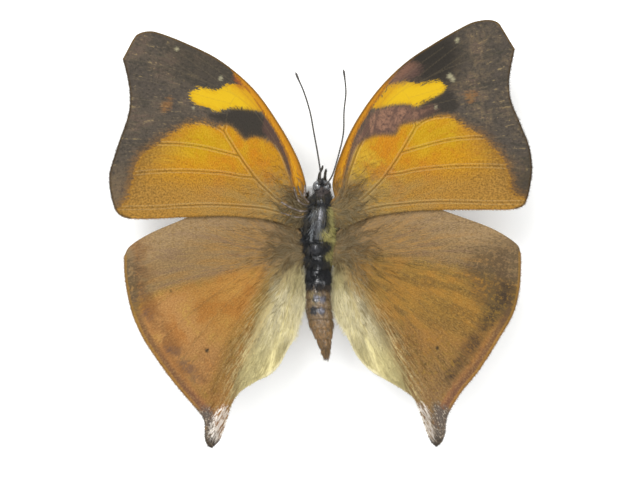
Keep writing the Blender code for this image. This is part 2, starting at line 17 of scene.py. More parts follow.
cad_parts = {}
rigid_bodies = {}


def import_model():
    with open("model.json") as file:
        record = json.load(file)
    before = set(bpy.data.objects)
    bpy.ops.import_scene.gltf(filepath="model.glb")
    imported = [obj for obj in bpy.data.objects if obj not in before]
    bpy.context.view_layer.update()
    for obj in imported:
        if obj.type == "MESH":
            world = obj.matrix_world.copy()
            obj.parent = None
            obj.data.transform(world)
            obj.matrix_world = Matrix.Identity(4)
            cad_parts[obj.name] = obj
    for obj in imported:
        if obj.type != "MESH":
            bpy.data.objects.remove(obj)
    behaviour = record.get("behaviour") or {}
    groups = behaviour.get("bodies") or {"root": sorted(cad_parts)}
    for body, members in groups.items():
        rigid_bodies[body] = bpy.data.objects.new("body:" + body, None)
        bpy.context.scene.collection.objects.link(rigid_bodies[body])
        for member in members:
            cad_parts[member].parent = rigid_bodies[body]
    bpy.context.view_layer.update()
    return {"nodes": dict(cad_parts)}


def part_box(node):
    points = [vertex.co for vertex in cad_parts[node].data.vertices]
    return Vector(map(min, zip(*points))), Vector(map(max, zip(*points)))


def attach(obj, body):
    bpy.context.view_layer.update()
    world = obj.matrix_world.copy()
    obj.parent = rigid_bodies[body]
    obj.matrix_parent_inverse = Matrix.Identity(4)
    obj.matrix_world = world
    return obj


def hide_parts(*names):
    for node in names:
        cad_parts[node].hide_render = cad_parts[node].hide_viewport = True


bl_info = {
    "name": "Autumn Leaf Butterfly",
    "version": (1, 0, 0),
    "blender": (4, 5, 0),
    "location": "View3D > Sidebar > Butterfly",
    "description": "Dresses the packed frame of a spread autumn leaf butterfly",
    "category": "Object",
}

for startup_object in list(bpy.data.objects):
    bpy.data.objects.remove(startup_object)
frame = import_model()

MM = 0.001
SIDES = {"left": -1, "right": 1}
CURVE_STEPS = 8            # straight pieces between two named points of a curve

# The body, as stations from front to back: place along Y, centre X, centre Z, half width, half height
BODY = [
    (9.3, 0.3, 12.4, 0.25, 0.3), (9.2, 0.3, 12.4, 0.55, 0.7), (8.8, 0.3, 12.5, 0.8, 1.1),
    (8.1, 0.3, 12.55, 0.86, 1.25), (7.4, 0.25, 12.6, 0.88, 1.15), (6.9, 0.2, 12.6, 0.9, 0.9),
    (6.6, 0.15, 12.6, 0.95, 0.95), (6.1, 0.1, 12.6, 1.45, 1.45), (5.5, 0.05, 12.55, 1.55, 1.6),
    (5.0, 0.0, 12.5, 1.9, 2.05), (3.2, -0.15, 12.45, 2.2, 2.45), (0.5, -0.25, 12.4, 2.25, 2.55),
    (-1.4, -0.3, 12.3, 2.15, 2.4), (-2.2, -0.3, 12.25, 1.95, 2.1), (-2.7, -0.3, 12.2, 2.0, 2.1),
    (-3.9, -0.3, 12.15, 1.6, 1.6), (-4.2, -0.3, 12.15, 1.5, 1.5), (-5.0, -0.3, 12.15, 1.75, 1.7),
    (-7.0, -0.3, 12.15, 1.85, 1.75), (-9.0, -0.25, 12.1, 1.95, 1.8), (-11.0, -0.1, 12.05, 2.05, 1.85),
    (-12.6, 0.15, 11.95, 2.0, 1.8), (-14.0, 0.4, 11.85, 1.7, 1.55), (-15.5, 0.65, 11.75, 1.25, 1.2),
    (-16.9, 0.85, 11.7, 0.85, 0.85), (-17.9, 0.95, 11.65, 0.4, 0.4),
]
BODY_SQUARENESS = 2.2      # 2 is an ellipse, more is boxier
ABDOMEN_FRONT = -4.2
ABDOMEN_BACK = -17.9
SEGMENTS = 9               # rings of the abdomen
SEGMENT_LENGTH = (ABDOMEN_FRONT - ABDOMEN_BACK) / SEGMENTS
SEGMENT_STEP = 0.13        # how far each stands over the next

# The wings' shared surface, as the solids have it
WING_HEIGHTS = {"forewing": 13.35, "hindwing": 12.35}
LIFTS = {"forewing": -0.17, "hindwing": 0.17}      # the thin membrane inside its solid
DIHEDRAL = radians(3.5)
CAMBER = 0.8
DROOP = 0.8
HALF_SPAN = 31.5
INNER_FOLD = 1.9
INNER_FOLD_WIDTH = 4.6
INNER_FOLD_REACH = (-2.6, -17.0)
INNER_FOLD_EASE = (3.0, 4.0)
INNER_MARGIN = 2.0
WING_ROOTS = {"forewing": (2.2, 4.5), "hindwing": (2.2, -1.5)}
ROOT_PLACES = {"forewing": (5.2, 3.6, 2.2), "hindwing": (-0.2, -1.6, -3.0)}
ROOT_TUCK = 0.35           # how far the membrane reaches into the thorax

# Each wing's margins
MARGINS = {
    ("forewing", "left"): {
        "costa": [(2.3, 6.6), (2.2, 8.5), (3.5, 12.5), (6.2, 17.4), (10.0, 22.7), (15.0, 26.95),
                  (20.0, 29.5), (24.0, 31.05), (25.7, 31.35), (27.2, 31.0), (28.0, 30.2), (29.6, 27.2)],
        "outer": [(29.6, 27.2), (28.9, 24.5), (28.5, 21.5), (28.8, 18.6), (30.2, 14.5), (31.4, 10.7),
                  (31.6, 9.2), (31.4, 7.0), (30.7, 4.6), (29.8, 3.6), (28.5, 3.2)],
        "inner": [(28.5, 3.2), (25.0, 3.2), (19.0, 3.5), (13.0, 3.6), (7.0, 2.9), (3.4, 1.7)],
    },
    ("forewing", "right"): {
        "costa": [(2.25, 6.6), (1.95, 8.7), (3.0, 12.5), (5.2, 17.4), (8.6, 22.4), (12.8, 26.6),
                  (17.5, 29.75), (22.0, 32.3), (24.0, 32.95), (25.6, 33.05), (26.8, 32.6), (27.5, 31.6),
                  (29.25, 28.7)],
        "outer": [(29.25, 28.7), (28.5, 25.0), (28.4, 22.5), (28.8, 20.5), (30.2, 17.1), (31.4, 13.9),
                  (31.8, 10.7), (31.4, 7.5), (30.7, 5.4), (29.5, 4.7)],
        "inner": [(29.5, 4.7), (27.0, 4.55), (20.0, 4.55), (14.0, 4.4), (8.0, 3.6), (3.2, 1.8)],
    },
    ("hindwing", "left"): {
        "costa": [(2.9, 1.1), (6.0, 4.2), (11.0, 5.6), (16.0, 5.0), (20.6, 3.1), (25.5, 1.0),
                  (28.5, -0.9), (29.4, -2.4)],
        "outer": [(29.4, -2.4), (29.3, -5.6), (28.6, -9.6), (27.5, -12.8), (25.8, -16.0), (22.1, -21.2),
                  (18.9, -25.0), (17.65, -26.6), (17.3, -27.8), (17.3, -29.8), (16.9, -30.9),
                  (16.3, -31.3)],
        "inner": [(16.3, -31.3), (15.1, -30.0), (14.0, -26.9), (13.2, -24.5), (12.2, -23.0),
                  (11.0, -22.05), (9.3, -21.05), (7.5, -20.2), (6.15, -18.8), (4.9, -16.5),
                  (3.9, -14.9), (3.3, -13.2), (2.9, -11.6), (2.35, -10.0), (2.15, -8.0), (2.25, -5.8),
                  (2.7, -4.0)],
    },
    ("hindwing", "right"): {
        "costa": [(2.6, 1.1), (6.0, 4.6), (11.0, 6.0), (15.5, 5.6), (19.0, 4.25), (25.7, 1.8),
                  (29.4, -0.5), (30.15, -2.0)],
        "outer": [(30.15, -2.0), (30.15, -4.6), (29.9, -7.6), (29.0, -11.1), (26.9, -14.8),
                  (23.95, -19.5), (21.2, -22.9), (19.4, -25.9), (18.96, -27.4), (18.8, -29.1),
                  (18.3, -30.4), (17.5, -31.1)],
        "inner": [(17.5, -31.1), (16.7, -30.3), (16.05, -28.8), (14.9, -25.4), (14.1, -23.8),
                  (12.8, -22.7), (9.6, -20.8), (8.15, -20.0), (6.7, -18.8), (5.4, -17.1), (3.8, -13.9),
                  (2.5, -12.0), (1.75, -9.8), (1.6, -8.1), (1.75, -5.8), (2.2, -4.0)],
    },
}

# The main veins, from the root outward, in the left wings' places, each with its radius at the
# root and at its end. The right wings' veins are the same lines, turned and stretched.
VEINS = {
    "forewing": {
        "subcosta": ([(3.1, 7.4), (4.5, 12.0), (7.2, 16.9), (10.8, 21.4), (14.6, 24.9),
                      (18.8, 27.8)], 0.17, 0.07),
        "radius": ([(3.3, 6.0), (4.4, 9.5), (6.0, 13.5), (8.3, 17.2), (10.4, 19.9),
                    (12.6, 21.7)], 0.19, 0.1),
        "radius_2": ([(12.6, 21.7), (15.9, 24.3), (19.4, 26.9), (23.0, 29.4)], 0.09, 0.05),
        "radius_4": ([(12.6, 21.7), (16.8, 23.6), (21.0, 26.2), (26.6, 30.0)], 0.09, 0.05),
        "radius_5": ([(16.8, 23.6), (22.0, 25.6), (29.0, 27.4)], 0.08, 0.05),
        "media_1": ([(13.4, 20.5), (17.6, 21.6), (22.6, 23.2), (28.3, 24.3)], 0.08, 0.05),
        "media_2": ([(13.9, 18.9), (18.2, 19.7), (23.2, 20.7), (28.2, 21.2)], 0.08, 0.05),
        "cell_end": ([(12.6, 21.7), (13.4, 20.5), (13.9, 18.9), (14.4, 16.3)], 0.06, 0.06),
        "cubitus": ([(3.2, 4.4), (6.0, 5.8), (8.4, 7.9), (9.8, 9.4), (12.1, 12.6),
                     (14.4, 16.3)], 0.2, 0.1),
        "media_3": ([(14.4, 16.3), (16.0, 17.3), (18.2, 17.7), (23.0, 17.9), (28.8, 17.4)], 0.1, 0.06),
        "cubitus_1": ([(12.1, 12.6), (14.0, 13.1), (19.0, 14.2), (24.0, 14.5),
                       (30.0, 14.2)], 0.11, 0.06),
        "cubitus_2": ([(9.8, 9.4), (12.0, 9.6), (15.0, 10.1), (21.0, 10.4), (27.0, 10.1),
                       (31.4, 9.3)], 0.11, 0.06),
        "anal": ([(3.3, 3.4), (8.0, 4.7), (12.0, 5.1), (16.0, 5.3), (20.0, 5.2), (25.0, 4.9),
                  (30.2, 4.8)],
                 0.15, 0.07),
    },
    "hindwing": {
        "subcosta": ([(3.8, 0.2), (7.0, 1.6), (12.0, 2.5), (18.0, 1.9), (24.0, 0.0),
                      (28.8, -2.0)], 0.15, 0.07),
        "radius": ([(3.8, -0.8), (8.0, 0.0), (12.0, 0.2), (18.0, -0.8), (24.0, -2.6),
                    (29.4, -5.0)], 0.15, 0.06),
        "media_1": ([(8.0, 0.0), (14.0, -1.9), (20.0, -3.9), (29.0, -8.6)], 0.08, 0.05),
        "media_2": ([(9.5, -1.6), (15.0, -4.1), (21.0, -7.1), (27.7, -12.6)], 0.08, 0.05),
        "media_3": ([(9.8, -3.7), (15.0, -7.6), (20.6, -12.0), (25.4, -16.6)], 0.09, 0.05),
        "cell_end": ([(8.0, 0.0), (9.5, -1.6), (9.8, -3.7)], 0.06, 0.06),
        "cubitus": ([(3.8, -1.8), (6.2, -3.2), (8.2, -4.0), (9.8, -3.7)], 0.15, 0.09),
        "cubitus_1": ([(8.2, -4.0), (13.0, -8.6), (18.0, -14.2), (22.4, -20.6)], 0.1, 0.05),
        "cubitus_2": ([(6.2, -3.2), (10.4, -9.2), (14.4, -15.6), (17.4, -21.2),
                       (18.7, -24.8)], 0.1, 0.05),
        "anal_2": ([(3.8, -2.6), (5.4, -6.0), (8.2, -11.4), (11.6, -17.8), (15.0, -24.6),
                    (16.5, -29.6)],
                   0.11, 0.06),
        "anal_3": ([(3.5, -3.4), (4.2, -7.0), (5.0, -11.0), (6.4, -15.4), (7.6, -19.6)], 0.09, 0.05),
    },
}
# How a right wing's veins lie: turn and stretch about the wing's root
VEIN_FITS = {
    ("forewing", "left"): (0.0, 1.0), ("forewing", "right"): (radians(1.7), 1.03),
    ("hindwing", "left"): (0.0, 1.0), ("hindwing", "right"): (radians(3.0), 1.02),
}
COSTA_RADII = (0.2, 0.09)  # the strong vein along the leading edge
# Bare chitin on the left forewing's root veins; their pale lilac flecks are painted glints
BARE_VEIN_GLINT_REACH = {"forewing_left": 3.8}    # how far out the veins have lost their scales and shine

# The markings, each a closed outline; a wing's own marks are its attributes, in millimetres inside
MARKINGS = {
    ("forewing", "left"): {
        "patch": [(31.5, 3.9), (30.0, 4.8), (28.7, 6.6), (28.2, 8.8), (27.6, 11.0), (26.8, 12.6),
                  (25.2, 13.8), (23.2, 15.4), (21.5, 16.5), (20.2, 17.3), (18.5, 17.6), (17.0, 17.5),
                  (15.5, 17.0), (14.0, 17.5), (13.0, 17.1), (12.0, 16.0), (11.3, 15.2), (10.5, 15.8),
                  (9.5, 15.7), (8.0, 15.0), (7.0, 14.6), (6.2, 14.0), (5.3, 12.3), (4.6, 9.5),
                  (3.6, 6.0), (0.0, 5.0), (0.0, 0.0), (31.5, 0.0)],
        "bar": [(19.6, 21.5), (19.2, 22.3), (18.2, 22.8), (16.8, 22.7), (15.5, 22.5), (13.8, 23.3),
                (12.2, 23.3), (11.0, 23.0), (10.0, 22.0), (8.8, 20.6), (8.3, 19.6), (9.5, 19.4),
                (12.0, 19.5), (13.5, 19.8), (15.5, 19.3), (17.0, 20.0), (18.5, 20.4)],
        "strip": [(13.6, 26.2), (12.8, 24.8), (12.0, 23.8), (10.5, 22.0), (9.1, 20.0), (7.8, 18.0),
                  (6.6, 16.2), (5.6, 14.2), (4.8, 12.3), (4.3, 10.4), (3.5, 6.5), (0.5, 6.0),
                  (0.5, 10.0), (2.0, 14.0), (5.0, 20.0), (8.5, 25.0)],
        "black": [(9.0, 19.0), (10.3, 19.5), (12.4, 19.7), (14.7, 19.0), (16.6, 18.8), (15.4, 18.0),
                  (13.6, 17.3), (12.2, 16.4), (11.2, 15.3), (9.8, 15.6), (8.8, 15.5), (7.6, 15.9),
                  (7.6, 17.2)],
        "apex_black": [(12.0, 24.3), (14.0, 26.2), (17.0, 27.8), (21.0, 29.6), (21.0, 27.2),
                       (19.6, 25.0), (17.0, 23.2), (14.0, 23.6)],
        "purple": [(8.3, 18.4), (8.6, 16.6), (7.6, 15.2), (6.4, 13.6), (5.5, 12.2), (4.7, 10.0),
                   (4.4, 10.2), (4.9, 12.2), (5.6, 14.2), (6.6, 16.4)],
        "blush": [(11.0, 22.7), (11.9, 23.7), (12.8, 24.6), (12.8, 23.8), (12.0, 22.9)],
    },
    ("forewing", "right"): {
        "patch": [(32.0, 5.8), (30.6, 6.2), (29.2, 6.9), (28.5, 8.2), (28.2, 10.2), (27.2, 12.4),
                  (25.6, 14.2), (24.2, 15.7), (23.0, 16.4), (21.5, 17.2), (19.5, 18.6), (18.0, 18.7),
                  (16.5, 18.5), (14.8, 17.9), (12.8, 17.6), (11.8, 17.2), (11.2, 15.9), (9.0, 16.0),
                  (8.0, 15.8), (7.0, 15.3), (5.5, 14.3), (4.6, 12.6), (4.0, 9.5), (3.4, 6.0),
                  (0.0, 5.0), (0.0, 0.0), (32.0, 0.0)],
        "bar": [(18.8, 22.9), (18.5, 23.4), (17.5, 23.9), (16.0, 23.5), (14.5, 23.4), (13.0, 23.8),
                (10.6, 23.3), (9.3, 21.8), (8.0, 20.2), (8.8, 19.8), (11.0, 20.2), (13.5, 20.3),
                (14.2, 19.9), (16.5, 20.8), (18.5, 22.0)],
        "strip": [(12.2, 26.4), (11.4, 25.0), (10.3, 23.6), (9.2, 22.0), (7.7, 19.9), (6.3, 17.7),
                  (5.2, 15.6), (4.5, 13.6), (3.9, 11.4), (3.4, 9.0), (3.0, 6.5), (0.5, 6.0),
                  (0.5, 10.0), (1.5, 14.0), (4.2, 20.0), (7.6, 25.0)],
        "black": [(15.0, 20.2), (17.5, 21.6), (19.4, 22.4), (20.6, 20.8), (20.2, 19.4), (18.0, 19.1),
                  (16.0, 18.8)],
        "apex_black": [(12.2, 25.9), (15.0, 28.0), (18.6, 29.9), (20.0, 28.2), (19.5, 25.8),
                       (18.8, 24.0), (17.3, 24.4), (15.0, 24.3), (13.2, 24.8)],
        "purple": [(9.2, 19.9), (11.0, 20.2), (12.8, 20.3), (14.7, 19.8), (16.4, 20.3), (17.6, 19.9),
                   (16.1, 18.5), (14.2, 17.9), (12.1, 17.3), (11.2, 16.1), (9.0, 15.8), (7.3, 15.5),
                   (5.9, 14.6), (4.8, 12.4), (4.3, 11.0), (4.2, 12.0), (5.0, 14.6), (6.5, 17.3),
                   (7.7, 19.0)],
        "blush": [(10.7, 23.8), (11.8, 25.2), (13.4, 26.4), (14.9, 26.0), (14.6, 24.8), (13.0, 24.0),
                  (11.8, 23.7)],
    },
    ("hindwing", "left"): {
        "band": [(1.0, -3.2), (8.0, -3.9), (13.0, -4.9), (20.0, -6.2), (25.0, -7.6), (32.0, -9.0),
                 (32.0, 8.0), (1.0, 8.0)],
        "warm": [(7.6, -4.0), (12.0, -4.4), (18.0, -6.6), (24.0, -8.0), (27.2, -11.4), (25.0, -15.6),
                 (19.0, -22.4), (16.6, -22.0), (14.0, -15.6), (10.8, -10.0)],
        "straw": [(0.5, -3.6), (4.0, -4.2), (6.2, -6.6), (8.6, -11.0), (10.6, -16.0), (12.0, -20.0),
                  (12.6, -24.0), (11.4, -27.0), (0.5, -25.0)],
        "dusk": [(2.8, -3.6), (5.2, -4.8), (7.0, -8.0), (9.0, -12.4), (10.4, -15.8), (9.2, -15.4),
                 (6.8, -12.4), (4.6, -11.4), (3.4, -9.0)],
        "smoke": [(27.4, -3.0), (31.0, -2.6), (30.6, -9.0), (28.4, -9.6), (27.0, -8.2), (26.8, -5.6)],
        "tail": [(20.0, -25.2), (18.2, -25.6), (16.6, -25.4), (15.6, -27.4), (15.0, -30.0),
                 (15.4, -32.5), (20.0, -32.5)],
        "tail_white": [(15.2, -25.6), (16.0, -27.0), (16.4, -29.0), (15.6, -30.2), (14.6, -30.4),
                       (13.6, -27.0), (14.0, -25.0)],
    },
    ("hindwing", "right"): {
        "band": [(1.0, -1.8), (8.0, -1.6), (13.0, -2.0), (20.0, -3.4), (25.0, -4.4), (32.0, -5.6),
                 (32.0, 8.0), (1.0, 8.0)],
        "warm": [(7.6, -3.6), (13.0, -4.4), (19.0, -6.4), (24.0, -8.8), (24.6, -12.0), (21.4, -15.6),
                 (17.6, -15.4), (13.6, -11.4), (10.2, -8.0)],
        "straw": [(0.5, -3.6), (2.8, -4.2), (4.4, -7.0), (7.0, -10.6), (9.4, -14.0), (11.4, -17.8),
                  (12.8, -21.8), (14.2, -25.4), (12.6, -27.0), (0.5, -25.0)],
        "dusk": [(3.8, -5.4), (6.2, -7.8), (9.2, -11.6), (10.6, -15.4), (8.4, -14.8), (5.8, -12.8),
                 (4.2, -9.6)],
        "smoke": [(24.0, -1.6), (31.5, -0.8), (31.2, -9.4), (29.0, -11.6), (26.0, -11.2), (24.0, -8.0),
                  (22.6, -4.4)],
        "tail": [(21.0, -25.4), (19.0, -25.4), (17.2, -24.6), (17.0, -27.0), (16.9, -29.4),
                 (16.6, -32.5), (21.0, -32.5)],
        "tail_white": [(15.9, -25.2), (16.5, -27.2), (16.9, -29.4), (16.6, -30.4), (15.6, -30.0),
                       (14.6, -26.4), (14.9, -24.6)],
    },
}
# Small spots, each with its place and radius. The blots are the hindwing's broken smoky band.
SPOTS = {
    ("forewing", "left"): {
        "white": [(14.9, 24.3, 0.28), (21.5, 28.7, 0.24), (19.0, 19.8, 0.13)],
        "amber": [(22.9, 20.4, 0.62), (23.4, 19.7, 0.4), (22.6, 21.2, 0.32)],
    },
    ("forewing", "right"): {
        "white": [(19.5, 24.6, 0.4), (20.6, 30.0, 0.32), (17.4, 19.95, 0.17), (19.9, 24.1, 0.3)],
        "amber": [(22.4, 21.6, 0.6), (23.1, 21.9, 0.35), (22.7, 20.9, 0.3)],
    },
    ("hindwing", "left"): {
        "dots": [(17.0, -16.6, 0.3), (22.4, -7.7, 0.16)],
        "blots": [(26.0, -11.2, 0.4), (22.7, -16.6, 0.4), (21.6, -16.7, 0.35), (20.4, -18.4, 0.4),
                  (19.6, -19.4, 0.5), (18.7, -20.7, 0.35)],
    },
    ("hindwing", "right"): {
        "dots": [(17.6, -16.2, 0.26), (23.0, -6.9, 0.12)],
        "blots": [(28.1, -7.1, 0.4), (27.6, -8.7, 0.8), (26.3, -10.6, 0.4), (25.4, -11.9, 0.6),
                  (24.7, -13.0, 0.3), (23.2, -15.2, 0.45), (22.3, -16.3, 0.4), (20.8, -18.5, 0.3),
                  (19.7, -20.3, 0.3)],
    },
}
# The underside's dead leaf: the midrib's line and the little eyes
MIDRIBS = {
    "forewing": [(25.8, 31.6), (22.2, 24.6), (18.4, 17.4), (15.2, 10.6), (13.0, 3.0)],
    "hindwing": [(13.2, 6.2), (13.8, 0.0), (14.8, -8.0), (15.8, -17.0), (16.6, -25.0), (16.8, -31.6)],
}
EYESPOTS = {
    "forewing": [(21.6, 22.4, 0.7), (23.4, 12.4, 0.55)],
    "hindwing": [(22.6, -7.6, 0.95), (17.1, -16.5, 0.85), (20.4, -11.9, 0.45)],
}
PALE_DOTS = {
    "forewing": [(7.4, 11.4, 0.42), (10.4, 15.0, 0.34), (8.6, 7.0, 0.3), (15.2, 24.4, 0.4),
                 (21.4, 28.6, 0.32)],
    "hindwing": [(8.2, 2.2, 0.42), (6.6, -1.6, 0.34), (11.0, -0.8, 0.28)],
}

# The feelers and mouthparts, each a route of points in X, Y and Z
ANTENNA_ROUTES = {
    "left": [(-0.1, 8.45, 13.5), (-0.09, 8.6, 14.2), (0.03, 9.3, 14.6), (0.05, 10.3, 14.8),
             (-0.35, 13.0, 15.1), (-0.9, 16.0, 15.45), (-1.45, 19.0, 15.75), (-2.35, 22.0, 16.05),
             (-3.3, 24.2, 16.25), (-3.65, 25.1, 16.35)],
    "right": [(0.8, 8.2, 13.4), (0.9, 8.45, 14.2), (1.33, 8.85, 14.6), (1.95, 10.0, 14.8),
              (2.85, 13.0, 15.1), (3.5, 16.0, 15.45), (3.6, 19.3, 15.8), (3.87, 22.0, 16.1),
              (3.7, 24.2, 16.3), (3.52, 25.5, 16.4)],
}
PALP_ROUTES = {
    "left": [(0.05, 8.6, 12.0), (-0.12, 9.5, 12.35), (0.0, 10.1, 12.6), (0.25, 10.65, 12.9),
             (0.42, 11.1, 13.15)],
    "right": [(0.6, 8.6, 12.0), (0.74, 9.5, 12.35), (0.79, 10.0, 12.55), (0.85, 10.25, 12.7),
              (0.9, 10.6, 12.85)],
}
EYE_PLACE = (0.64, 8.1, 12.75)
EYE_RADII = (0.78, 0.86, 1.04)
TONGUE_CENTRE = (0.3, 8.3, 9.45)
LEG_ROUTES = {
    "foreleg": [(1.0, 4.3, 10.6), (1.6, 4.9, 9.3), (1.7, 6.2, 9.35), (1.6, 7.2, 9.8)],
    "midleg": [(1.15, 2.4, 10.4), (2.4, 3.3, 8.6), (3.6, 3.6, 8.5), (2.7, 1.0, 7.7), (2.1, -1.4, 7.3),
               (2.0, -4.2, 7.0)],
    "hindleg": [(1.05, -1.7, 10.5), (2.2, -2.2, 9.0), (3.9, -3.0, 8.9), (3.3, -6.2, 8.0),
                (2.3, -9.0, 7.7), (1.7, -11.4, 7.5)],
}


def linear(code):
    """The linear RGBA value of an sRGB hex colour."""
    channels = [int(code[place:place + 2], 16) / 255 for place in (1, 3, 5)]
    return (*[value / 12.92 if value <= 0.04045 else ((value + 0.055) / 1.055) ** 2.4
              for value in channels], 1.0)


def through(points, steps=CURVE_STEPS):
    """An open curve through the points, with the given number of steps between each two."""
    knots = np.array(points, float)
    padded = np.vstack([2 * knots[0] - knots[1], knots, 2 * knots[-1] - knots[-2]])
    t = (np.arange(steps) / steps)[:, None]
    runs = []
    for before, start, end, after in zip(padded, padded[1:], padded[2:], padded[3:]):
        runs.append(0.5 * (2 * start + (end - before) * t
                           + (2 * before - 5 * start + 4 * end - after) * t ** 2
                           + (3 * start - before - 3 * end + after) * t ** 3))
    return np.vstack([*runs, knots[-1:]])


def evenly(curve, step):
    """The curve's points about one step apart, with both ends kept."""
    lengths = np.concatenate([[0.0], np.cumsum(np.linalg.norm(np.diff(curve, axis=0), axis=1))])
    stops = np.linspace(0.0, lengths[-1], max(2, round(lengths[-1] / step) + 1))
    return np.column_stack([np.interp(stops, lengths, column) for column in curve.T])


def closed(outline):
    """An outline with its first point again at its end."""
    return np.vstack([outline, outline[:1]])


def rounded(outline):
    """A closed outline as a smooth curve through its points."""
    return through([*outline, outline[0]], 3)[:-1]


def distance(places, lines):
    """Distance from each place to the nearest of some lines of points."""
    nearest = np.full(len(places), np.inf)
    for line in lines:
        for start, end in zip(line, line[1:]):
            run = end - start
            offset = places - start
            share = np.clip(offset @ run / max(run @ run, 1e-12), 0.0, 1.0)
            nearest = np.minimum(nearest, np.sum((offset - share[:, None] * run) ** 2, axis=1))
    return np.sqrt(nearest)


def depth(places, outline):
    """How far each place lies inside an outline, less than zero outside it."""
    crossings = np.zeros(len(places), int)
    for start, end in zip(outline, closed(outline)[1:]):
        rise = end[1] - start[1]
        if rise == 0.0:
            continue
        between = (start[1] > places[:, 1]) != (end[1] > places[:, 1])
        crossing = start[0] + (places[:, 1] - start[1]) * (end[0] - start[0]) / rise
        crossings += between & (crossing > places[:, 0])
    reach = distance(places, [closed(outline)])
    return np.where(crossings % 2 == 1, reach, -reach)


def spot_depth(places, spots):
    """How far each place lies inside the nearest of some round spots."""
    inside = np.full(len(places), -12.0)
    for x, y, radius in spots:
        inside = np.maximum(inside, radius - np.hypot(places[:, 0] - x, places[:, 1] - y))
    return inside


def ease(value):
    """A smooth step from 0 to 1."""
    value = np.clip(value, 0.0, 1.0)
    return value * value * (3 - 2 * value)


def unit(vectors):
    """The vectors with length one."""
    return vectors / np.maximum(np.linalg.norm(vectors, axis=-1, keepdims=True), 1e-9)


BODY_CURVE = through(BODY, 4)[::-1]


def section(y):
    """Centre X, centre Z, half width and half height of the body at places along Y."""
    return [np.interp(y, BODY_CURVE[:, 0], column) for column in BODY_CURVE.T[1:]]


def bump_at(distance_out, width):
    """A round bump's height, as a share, at a distance from its middle."""
    return np.exp(-(distance_out / width) ** 2)


def relief(y, angle):
    """How far the body's rings and plates stand out, at places along Y and angles round it."""
    half_width = section(y)[2]
    across = np.cos(angle) * half_width
    up = np.sin(angle)
    # The abdomen: each ring stands over the next, with a soft fold along each flank
    share = ((ABDOMEN_FRONT - y) / SEGMENT_LENGTH) % 1.0
    ring = -SEGMENT_STEP * (1 - ease(share / 0.45)) + 0.03 * bump_at(share - 0.9, 0.12)
    flank = -0.1 * bump_at(up + 0.25, 0.16)
    on_abdomen = ease((ABDOMEN_FRONT - y) / 0.3)
    out = on_abdomen * np.minimum(1.0, half_width) * (ring + flank)
    # The thorax: a groove down the middle, side plates, and the shield at its back
    back = ease((up - 0.2) / 0.4)
    on_thorax = ease((6.4 - y) / 0.6) * ease((y + 3.6) / 0.5)
    groove = -0.1 * bump_at(across + 0.1, 0.1) * ease((y + 0.6) / 0.4)
    shoulder = -0.09 * bump_at(np.abs(across + 0.1) - 1.05 - 0.08 * y, 0.11) * ease((y + 0.5) / 0.6)
    collar = -0.16 * bump_at(y - 5.25 + 0.12 * across ** 2, 0.13)
    seam = -0.2 * bump_at(y + 0.35 - 0.22 * across ** 2, 0.14)
    out_of_shield = np.hypot((y + 1.35) / 0.9, (across + 0.4) / 1.05)
    shield = 0.34 * bump_at(out_of_shield, 0.75) - 0.2 * bump_at(out_of_shield - 1.25, 0.24)
    behind = -0.16 * bump_at(y + 2.75 + 0.1 * across ** 2, 0.16)
    out += on_thorax * back * (groove + shoulder + collar + seam + shield + behind)
    side_seams = (bump_at(y - 2.6 + 0.9 * up, 0.13) + bump_at(y + 0.6 + 0.7 * up, 0.13)
                  + bump_at(y - 4.6 + 0.5 * up, 0.12))
    out += on_thorax * (1 - back) * -0.12 * side_seams
    # The head: a hollow between the eyes and a low brow
    on_head = ease((y - 6.9) / 0.4)
    out += on_head * back * (-0.08 * bump_at(np.hypot(across, y - 7.7), 0.35)
                             + 0.06 * bump_at(y - 8.6, 0.25))
    return out


def body_surface(y, angle, lift):
    """Points at a height over the stations' own surface, at places along Y and angles round it."""
    centre_x, centre_z, half_width, half_height = section(y)
    out = relief(y, angle) + lift
    power = 2 / BODY_SQUARENESS
    across = np.sign(np.cos(angle)) * np.abs(np.cos(angle)) ** power
    up = np.sign(np.sin(angle)) * np.abs(np.sin(angle)) ** power
    return np.column_stack([centre_x + across * np.maximum(half_width + out, 0.02), y,
                            centre_z + up * np.maximum(half_height + out, 0.02)])


def body_normals(y, angle):
    """Directions straight out of the body."""
    step = 0.04
    along = body_surface(y + step, angle, 0.0) - body_surface(y - step, angle, 0.0)
    turn = body_surface(y, angle + step, 0.0) - body_surface(y, angle - step, 0.0)
    return unit(np.cross(along, turn))


